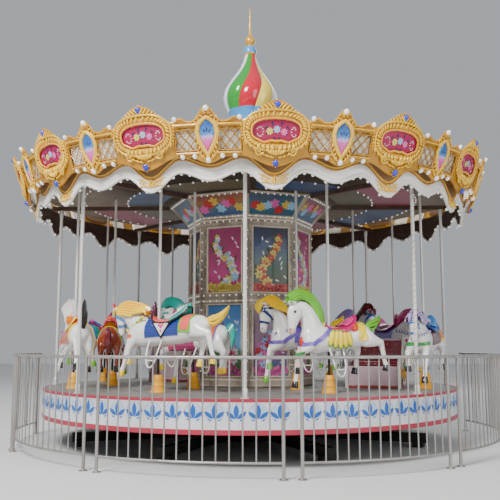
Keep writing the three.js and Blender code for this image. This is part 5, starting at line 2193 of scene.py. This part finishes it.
def along(mould, share):
    """A point of the crest in x and z and the unit direction across it, towards the throat."""
    path = MOULDS[mould]["crest"]
    place = share * (len(path) - 1)
    first = min(int(place), len(path) - 2)
    a, b = Vector(path[first]), Vector(path[first + 1])
    step = (b - a).normalized()
    return a.lerp(b, place - first), Vector((-step.y, step.x))


def wave_lock(mould, side, depth, bottom, size, sunk):
    """One wavy lock of the mane at a share of its depth, which may lie sunk between its neighbours."""
    points = []
    for i in range(15):
        share = i / 14
        spot, inward = along(mould, lerp(0.02, 1, share))
        reach = bottom * math.sin(math.pi * min(1, 0.15 + share)) ** 0.6
        drop = depth * reach + 0.011 * math.sin(13 * share + 1.2)
        spread = (0.02 - sunk + 0.09 * math.sin(depth * math.pi / 2))
        points.append((spot.x + inward.x * drop, side * spread, spot.y + inward.y * drop))
    return lock(points, size)


print("locks follow a crest of", len(ARCHED["crest"]), "points")

# %% Manes
def waving_mane(mould, under):
    """Six rows of locks on each side, or the darker ones that fill the gaps between them, whose darker
    paint is painted shade in the gaps.
    """
    bottom = {"arched": 0.15, "low": 0.17}[mould]
    rows = [row / 5 for row in range(6)] if not under else [(row + 0.5) / 5 for row in range(5)]
    size, sunk = (0.021, 0.012) if under else (0.0185, 0.0)
    parts = [wave_lock(mould, side, depth, bottom, size, sunk) for depth in rows for side in (-1, 1)]
    return smooth(joined("waving_mane", parts), 60)


def forelock(mould):
    parts = []
    for side in (-1, 1):
        for turn in (0, 1):
            points = [
                (0.5, side * 0.012, 0.45), (0.555, side * (0.02 + 0.016 * turn), 0.44),
                (0.588, side * (0.022 + 0.022 * turn), 0.39),
                (0.592, side * (0.018 + 0.02 * turn), 0.345 - 0.02 * turn)]
            parts.append(lock(points, 0.018))
    lockful = smooth(joined("forelock", parts), 60)
    lockful.data.transform(HEAD_PLACE[mould])
    return lockful


def fringe(mould):
    """A long forelock that hangs before the face."""
    parts = []
    for y in (-0.045, -0.015, 0.015, 0.045):
        points = [
            (0.46, 0.4 * y, 0.46), (0.54, 0.7 * y, 0.485), (0.605, y, 0.43), (0.622, 1.1 * y, 0.35),
            (0.6, y, 0.27 + abs(y))]
        parts.append(lock(points, 0.021))
    whole = smooth(joined("fringe", parts), 60)
    whole.data.transform(HEAD_PLACE[mould])
    return whole


def rolled_mane(mould):
    parts = []
    for rise, y in (
            (-0.042, 0), (-0.026, 0.024), (-0.026, -0.024), (0.004, 0.036), (0.004, -0.036),
            (0.034, 0.04), (0.034, -0.04)):
        points = []
        for i in range(12):
            spot, inward = along(mould, i / 11)
            points.append((spot.x + inward.x * rise, y, spot.y + inward.y * rise))
        parts.append(lock(points, 0.034, [0.55, 0.9] + [1.0] * 8 + [0.8, 0.5]))
    for side in (-1, 1):
        spot, inward = along(mould, 0)
        curl = [
            (spot.x - 0.02, side * 0.03, spot.y + 0.03), (spot.x + 0.025, side * 0.035, spot.y),
            (spot.x + 0.015, side * 0.05, spot.y - 0.045), (spot.x - 0.03, side * 0.06, spot.y - 0.035)]
        parts.append(lock(curl, 0.018))
    return smooth(joined("rolled_mane", parts), 60)


print("manes for", len(MOULDS), "moulds")

# %% Tails
TAILS = {
    "swept": [
        (-0.54, 0.11, 0.2), (-0.585, 0.135, 1.5), (-0.645, 0.145, 2.1), (-0.71, 0.17, 2.1),
        (-0.775, 0.235, 1.2)],
    "hanging": [
        (-0.56, 0.1, 0), (-0.61, 0.15, 1), (-0.66, 0.13, 1.3), (-0.69, 0.04, 1.4), (-0.69, -0.06, 1.2),
        (-0.67, -0.13, 0.6)],
    "raised": [
        (-0.56, 0.08, 0.2), (-0.62, 0.13, 1.3), (-0.66, 0.22, 1.6), (-0.665, 0.33, 1.5),
        (-0.67, 0.44, 0.7)],
    "streaming": [
        (-0.71, 0.075, 0.2), (-0.78, 0.08, 1.3), (-0.87, 0.085, 1.8), (-0.96, 0.125, 1.8),
        (-1.045, 0.215, 1.0)],
    "low_hanging": [
        (-0.72, 0.06, 0), (-0.77, 0.1, 1), (-0.82, 0.08, 1.3), (-0.845, -0.02, 1.4), (-0.84, -0.12, 1.2),
        (-0.82, -0.19, 0.6)],
}


def tail(kind):
    """Nine locks in a bundle that spreads as wide as the stations say."""
    parts = []
    for i in range(9):
        turn = math.tau * i / 8
        across, rise = (0.02 * math.sin(turn), 0.034 * math.cos(turn)) if i < 8 else (0, 0)
        points = []
        for k, (x, z, spread) in enumerate(TAILS[kind]):
            wave = 0.007 * math.sin(1.9 * k + 2.1 * i)
            points.append((x - 0.4 * rise * spread, across * spread, z + rise * spread + wave))
        parts.append(lock(points, 0.018, [0.8] + [1.0] * (len(points) - 2) + [0.3]))
    return smooth(joined("tail", parts), 60)


for mould in MOULDS:
    PARTS[mould, "waving top"] = waving_mane(mould, False)
    PARTS[mould, "waving under"] = waving_mane(mould, True)
    PARTS[mould, "forelock"] = forelock(mould)
    PARTS[mould, "rolled"] = rolled_mane(mould)
    PARTS[mould, "fringe"] = fringe(mould)
for kind in TAILS:
    PARTS[kind] = tail(kind)
print("manes and tails", len(PARTS))

# %% Ornaments
def side_plate(name, outline, paint, lift):
    """A flat plate of an outline on both flanks."""
    made = []
    for side in (-1, 1):
        plate = from_outline(name, [(x, side * lift, z) for x, z in outline], True)
        bpy.ops.mesh.edge_face_add()
        bpy.ops.mesh.extrude_region_move(TRANSFORM_OT_translate={"value": (0, side * 0.004, 0)})
        clear_choice()
        outward(plate)
        made.append(give(plate, paint))
    return made


def flank_flower(x, z, y, size, petal, heart):
    made = []
    for side in (-1, 1):
        for i in range(7):
            turn = math.tau * i / 7
            at = (x + size * math.sin(turn), side * y, z + size * math.cos(turn))
            made.append(dot(petal, at, (size * 0.5, 0.016, size * 0.7), turn, "Y"))
        made.append(dot(heart, (x, side * (y + 0.008), z), (size * 0.6, 0.02, size * 0.6)))
    return made


def pendant(mould, edge, field, mark):
    middle = {"arched": -0.1, "low": -0.152}[mould]
    outline = [(middle + 0.145, 0.07), (middle - 0.145, 0.07), (middle, -0.14)]
    inner = [(middle + 0.112, 0.056), (middle - 0.112, 0.056), (middle, -0.098)]
    made = side_plate("pendant", outline, edge, 0.15) + side_plate("pendant_field", inner, field, 0.154)
    for side in (-1, 1):
        for x, z, size in (
                (0, 0.02, 0.026), (0.032, 0.036, 0.016), (-0.032, 0.036, 0.016), (0, -0.035, 0.018)):
            at = (middle + x, side * 0.158, z)
            made.append(dot(mark, at, (size, 0.005, size * 1.2), pattern=TRIM))
    return made


print("flat ornaments ready")

# %% Drape, beads, ring and plume
def scalloped_drape(paint, edge):
    """A shell of lobes below the saddle."""
    made = []
    for side in (-1, 1):
        for i in range(5):
            x = lerp(0.045, -0.215, i / 4)
            drop = 0.02 * math.sin(math.pi * (i + 0.5) / 5)
            for size, colour, out in ((1.0, edge, 0.0), (0.86, paint, 0.009)):
                at = (x, side * (0.139 + out), -0.012 - drop)
                lobe = (0.05 * size, 0.017, (0.108 + drop) * size)
                made.append(dot(colour, at, lobe, 0.13 * (i - 2), "Y"))
    return made


def beads(low, high, count, paints, size):
    """Beads along a line on both sides of the neck."""
    made = []
    for side in (-1, 1):
        for i in range(count):
            share = i / (count - 1)
            at = (
                lerp(low[0], high[0], share), side * lerp(low[1], high[1], share),
                lerp(low[2], high[2], share))
            made.append(ball_at(paints[i % len(paints)], at, size))
    return made


def ring_at(mould, paint):
    """A ring at the corner of the mouth on both sides."""
    made = []
    for side in (-1, 1):
        points = [
            (0.5 + 0.02 * math.sin(t), side * 0.058, 0.155 + 0.02 * math.cos(t))
            for t in [math.tau * i / 10 for i in range(10)]]
        made.append(give(tube("ring", points, 0.005, 6, cyclic=True), paint))
    ring = joined("ring", made)
    ring.data.transform(HEAD_PLACE[mould])
    return [ring]


def plume(mould):
    """A flower with leaves that stands on the forehead."""
    parts = [
        dot("gloss_red", (0.6, 0, 0.49), (0.022, 0.022, 0.03)),
        dot("gloss_pink", (0.612, 0.012, 0.46), (0.02, 0.018, 0.018)),
        dot("gloss_green", (0.598, -0.012, 0.448), (0.016, 0.02, 0.016)),
        dot("gloss_sun", (0.605, 0, 0.425), (0.02, 0.026, 0.02))]
    top = joined("plume", parts)
    top.data.transform(HEAD_PLACE[mould])
    return [top]


print("ornament for", len(MOULDS), "moulds")

# %% Ornament that only some horses wear
THROAT_LINE = {
    "arched": ((0.33, 0.1, -0.02), (0.14, 0.115, 0.15)),
    "low": ((0.44, 0.082, -0.03), (0.16, 0.125, 0.135)),
}
BREAST_LINE = {
    "arched": ((0.39, 0.05, 0.02), (0.2, 0.14, 0.06)),
    "low": ((0.49, 0.06, 0.0), (0.26, 0.135, 0.06)),
}


def extras(kind, mould, looks):
    """The ornament that only some horses wear."""
    if kind == "pendant":
        made = pendant(mould, "gloss_black", "gloss_white", "gloss_pink")
        made += beads(*THROAT_LINE[mould], 9, ("gloss_sun", "gloss_lime"), 0.021)
        return made + ring_at(mould, "gloss_black") + plume(mould)
    if kind == "shell":
        made = scalloped_drape("gloss_sun", "gloss_" + looks["drape"])
        made += flank_flower(-0.305, 0.105, 0.125, 0.036, "gloss_red", "gloss_orange")
        return made + [dot("gloss_red", (0.385, 0, -0.07), (0.034, 0.05, 0.07))]
    return beads(*BREAST_LINE[mould], 10, ("gloss_white", "gloss_purple"), 0.02)

# %% Twelve horses
# Each line says what the twelve horses have of one item, and a dash is something that a horse lacks.
# The row under gives the darker paint of the locks in the mane's gaps, a painted shade between the locks.
LOOKS = """
horse 01 02 03 04 05 06 07 08 09 10 11 12
mane waving rolled rolled waving waving rolled waving rolled rolled waving waving waving
hair yellow lime teal yellow lilac pink lilac teal crimson pink white crimson
under amber lime teal amber plum purple purple teal crimson magenta amber crimson
switch - - - - - - - - - - black -
fringe - - - yes - - - - - - - -
tail streaming swept hanging swept low_hanging low_hanging swept hanging low_hanging hanging raised hanging
blanket ribbed_navy - - purple crimson purple ribbed_navy red crimson teal orange blue
breast_drape - - ribbed_pink - - - - - - - - -
seat coral magenta red pink blue plum red sun orange lilac red sun
cantle teal magenta yellow blue blue lilac red lime orange pink red blue
scoop white pink sun lilac sky pink sun sun coral lilac coral sky
rim black magenta coral navy navy magenta navy green magenta blue sun navy
pommel plum - - - plum magenta - - crimson - - -
knob - sun teal lilac - - sun green - pink orange blue
rump coral sun orange lilac orange pink blue red green teal sun sun
edge lime yellow purple purple sun purple sun green sun blue yellow navy
strap - purple coral purple - - blue red - teal orange navy
band orange - - - green magenta - - magenta - - -
bridle sky - teal navy blue purple red green magenta blue red blue
knee - green - - - - - - - - - -
muzzle - muzzle_pink - - - - - - - - - -
hoof yellow black yellow lime black yellow black yellow black lime black black
extra pendant shell beads beads beads beads beads pendant beads shell beads beads
drape - lime - - - - - - - lilac - -
coat - - - - - - - - coat_brown coat_cream - -
"""
NUMBERS, *ITEMS = [line.split() for line in LOOKS.strip().splitlines()]
COLOURS = {
    number: {item[0]: item[n] for item in ITEMS if item[n] != "-"}
    for n, number in enumerate(NUMBERS) if n > 0}
print("looks for", len(COLOURS), "horses")

# %% Dressing a horse
def worn(looks, mould, stance):
    """The pieces of one horse as (pattern, paint) pairs, without those that it lacks."""
    paint = {key: "gloss_" + value if value in GLOSS else value for key, value in looks.items()}
    items = {key: paint.get(key) for key in ("blanket", "breast_drape")}
    items |= {"rump_edge": paint["edge"], "rump_cloth": paint["rump"], "strap": paint.get("strap")}
    items |= {"chest_band": paint.get("band") or paint.get("strap"), "knee_band": paint.get("knee")}
    items |= {key: paint.get("bridle") for key in ("nose_band", "cheek_band", "brow_band")}
    items |= {"muzzle": paint.get("muzzle"), stance: paint["hoof"]}
    items |= {key: paint.get(key) for key in ("seat", "cantle", "scoop", "rim", "pommel", "knob")}
    items[looks["tail"]] = paint.get("switch", paint["hair"])
    if looks["mane"] == "waving":
        items |= {"waving top": paint["hair"], "waving under": paint["under"], "forelock": paint["hair"]}
    else:
        items["rolled"] = paint["hair"]
    if "fringe" in looks:
        items["fringe"] = paint["hair"]
    return [(PARTS.get((mould, key)) or PARTS[key], paint) for key, paint in items.items() if paint]


POLE_TOP = 3.55
ROD_DROP = 0.1
POLE_RADIUS = 0.0188
ROD_RADIUS = 0.0158


def dressed_horse(name, ring, angle, lift, mould, stance):
    looks = COLOURS[name[-2:]]
    colour = looks.get("coat", "coat_white")
    parts = [give(copied(SKINS[mould, stance]), colour)]
    parts += [give(copied(pattern), paint) for pattern, paint in worn(looks, mould, stance)]
    parts += [face_parts(mould, colour), foot_rest(-1), foot_rest(1)]
    parts += extras(looks["extra"], mould, looks)
    middle = DECK_TOP + LIFT_LOW + lift
    pole = cone("pole", (0, 0, POLE_TOP + lift - middle), (0, 0, 0.05), POLE_RADIUS, POLE_RADIUS, 16)
    rod = cone("rod", (0, 0, 0), (0, 0, DECK_TOP - ROD_DROP + lift - middle), ROD_RADIUS, ROD_RADIUS, 16)
    parts += [give(smooth(pole, 50), "white_post"), give(smooth(rod, 50), "rod_dark")]
    whole = joined(f"galloper_{name[-2:]}", parts)
    whole.data.transform(Matrix.Translation(polar(ring, angle, middle)) @ turn_z(180 + angle))
    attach(whole, name)
    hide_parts(name)
    return whole


gallopers = [dressed_horse(*row) for row in HORSES]
dropped(*SKINS.values(), *PARTS.values())
print("horse triangles", [triangles(horse) for horse in gallopers])

# %% [markdown]
# The two chariots are benches for riders who don't want a horse. A side board could be sculpted, but
# it is flat: an outline filled, extruded and inset, so that its panel lies sunk in a frame. A rolled
# rim follows the outline as a tube, and scrolls stand on the panel. Seat and back are moulded
# fibreglass as well, with a buttoned relief, so they are rounded blocks and not soft cushions.

# %% Chariots
CHARIOTS = [("chariot_01", 1.9, 72), ("chariot_02", 1.65, -136)]
CHARIOT_HALF = 0.38
BOARD = 0.04
painted("chariot_panel", (206, 176, 186), 0.35, coat=0.3, amount=0.35)
painted("chariot_edge", (150, 52, 40), 0.3, coat=0.4, amount=0.25)
painted("bench_red", (136, 16, 52), 0.25, coat=0.5, amount=0.25, scale=9.0)


def curved(start, control, end):
    """Seven points of a quadratic curve after its start."""
    shares = [(i + 1) / 7 for i in range(7)]
    return [
        tuple((1 - t) ** 2 * a + 2 * t * (1 - t) * b + t * t * c for a, b, c in zip(start, control, end))
        for t in shares]


BENCH_SIDE = [(-0.38, 0.0), (0.38, 0.0)]
for control, end in (
        ((0.44, 0.26), (0.33, 0.42)), ((0.18, 0.33), (0.06, 0.33)), ((-0.12, 0.38), (-0.25, 0.72)),
        ((-0.42, 0.56), (-0.38, 0.0))):
    BENCH_SIDE += curved(BENCH_SIDE[-1], control, end)
BENCH_SIDE.pop()
print("side board outline", len(BENCH_SIDE), "points")

# %% Side boards and scrolls
def side_board(side):
    """A side board whose panel is sunk into a frame."""
    board = from_outline("board", [(x, side * (CHARIOT_HALF - BOARD), z) for x, z in BENCH_SIDE], True)
    bpy.ops.mesh.edge_face_add()
    bpy.ops.mesh.extrude_region_move(TRANSFORM_OT_translate={"value": (0, side * BOARD, 0)})
    pick(lambda middle, normal: side * middle.y > CHARIOT_HALF - 0.005)
    bpy.ops.mesh.inset(thickness=0.036, depth=0)
    bpy.ops.transform.translate(value=(0, -side * 0.01, 0))
    bpy.ops.mesh.normals_make_consistent(inside=False)
    clear_choice()
    give(board, "chariot_edge", "chariot_panel")
    outward(board)
    for face in board.data.polygons:
        sunk = abs(face.center.y) < CHARIOT_HALF - 0.005
        face.material_index = 1 if abs(face.normal.y) > 0.9 and sunk else 0
    return smooth(board, 40)


def scroll(middle, size, start, turns, side, paint):
    """A spiral rod on a side board's panel."""
    points = []
    for i in range(18):
        turn = start + turns * i / 17
        reach = size * (1 - 0.8 * i / 17)
        points.append((
            middle[0] + reach * math.cos(turn), side * 0.376, middle[1] + reach * math.sin(turn)))
    return give(tube("scroll", points, 0.012, 6, [0.5] + [1.0] * 16 + [1.3]), paint)


def board_leaf(x, z, turn, size, side, paint):
    return dot(paint, (x, side * 0.374, z), (size, 0.01, size * 0.36), turn, "Y")


print("board thickness", BOARD)

# %% Benches
def block(paint, x0, x1, z0, z1, room, round_by, segments):
    """A box across the chariot with rounded edges."""
    clear_choice()
    bpy.ops.mesh.primitive_cube_add(size=1, location=((x0 + x1) / 2, 0, (z0 + z1) / 2))
    bpy.context.object.scale = (x1 - x0, 2 * (CHARIOT_HALF - BOARD / 2 - room), z1 - z0)
    box = settle("block")
    modify(box, "BEVEL", width=round_by, segments=segments)
    return smooth(give(box, paint), 50)


# middle, size, first angle and turns of each scroll; place, turn and size of each leaf
SCROLLS = [((0.24, 0.2), 0.085, 1.9, -6.6), ((-0.02, 0.17), 0.1, 0.6, 6.8),
           ((-0.24, 0.42), 0.085, -0.9, 6.6), ((-0.27, 0.17), 0.07, 2.4, -6.2)]
BOARD_LEAVES = [(0.12, 0.14, 0.5, 0.06), (0.13, 0.22, -0.5, 0.055), (-0.13, 0.3, -0.9, 0.06),
                (-0.2, 0.29, -1.6, 0.055), (-0.15, 0.1, 0.2, 0.055), (0.33, 0.09, -1.1, 0.05),
                (-0.3, 0.54, -1.3, 0.06)]
# paint, x and z ranges, room left at the sides, rounding and its steps of each block
BLOCKS = [
    ("chariot_edge", -0.33, 0.38, 0.0, 0.04, 0, 0.006, 3),
    ("chariot_edge", -0.3, 0.1, 0.3, 0.33, 0, 0.006, 3),
    ("bench_red", -0.27, 0.105, 0.325, 0.375, 0.02, 0.022, 4),
    ("chariot_panel", -0.32, -0.28, 0.02, 0.68, 0, 0.012, 3),
    ("bench_red", -0.285, -0.245, 0.37, 0.655, 0.02, 0.018, 4),
    ("chariot_panel", 0.335, 0.378, 0.02, 0.3, 0, 0.012, 3),
    ("chariot_panel", -0.285, -0.265, 0.03, 0.31, 0, 0.005, 3)]


def side_dress(side):
    """Board, rim, scrolls, leaves and a rosette of one side."""
    parts = [side_board(side)]
    rim = [(x, side * (CHARIOT_HALF - BOARD / 2), z) for x, z in BENCH_SIDE[1:]]
    parts.append(give(tube("rim", rim, 0.023, 8), "white_gloss"))
    parts += [scroll(*row, side, "gold_bright") for row in SCROLLS]
    parts += [board_leaf(*row, side, "gloss_green") for row in BOARD_LEAVES]
    for i in range(6):
        turn = math.tau * i / 6
        parts.append(board_leaf(
            0.12 + 0.032 * math.cos(turn), 0.06 + 0.032 * math.sin(turn), -turn, 0.026, side,
            "gloss_crimson"))
    parts.append(dot("gloss_sun", (0.12, side * 0.38, 0.06), (0.016, 0.01, 0.016)))
    return parts


def dressed_chariot(name, ring, angle):
    parts = side_dress(1) + side_dress(-1) + [block(*row) for row in BLOCKS]
    for row, z in enumerate((0.44, 0.52, 0.6)):
        for column in range(5 - row % 2):
            y = (column - (4 - row % 2) / 2) * 0.13
            parts.append(dot("gold_bright", (-0.246, y, z), (0.007, 0.011, 0.011)))
    whole = joined(name.replace("chariot", "bench"), parts)
    whole.data.transform(Matrix.Translation(polar(ring, angle, DECK_TOP + SEAT)) @ turn_z(180 + angle))
    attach(whole, "turntable")
    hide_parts(name)
    return whole


benches = [dressed_chariot(*row) for row in CHARIOTS]
print("benches", [len(bench.data.polygons) for bench in benches])

# %% [markdown]
# Under the deck only dark steel shows: the base frame and the bearing keep their CAD shape, which
# is all that can be seen of them, and get the weathered near-black paint, which is partly the steel's own
# dark paint and partly painted shade under the deck.

# %% Base frame and bearing
for name in ("base_frame", "centre_bearing"):
    give(frame["nodes"][name], "dark_steel")
print("base painted")

# %% [markdown]
# The last step deletes the patterns, prints any CAD node that is still shown with its slot, and
# counts the triangles that were added.

# %% Clean up and count
dropped(BALL, LOBE, TRIM)
for name, node in frame["nodes"].items():
    if not node.hide_render:
        slot = next(s["material_slot"] for s in frame["record"]["subparts"] if s["node"] == name)
        print("still shown", name, slot)
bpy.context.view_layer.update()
added = [obj for obj in bpy.data.objects if obj.type == "MESH" and obj.name not in frame["nodes"]]
counts = [triangles(obj) for obj in added]
print("triangles added", sum(counts), "most in one", max(counts))
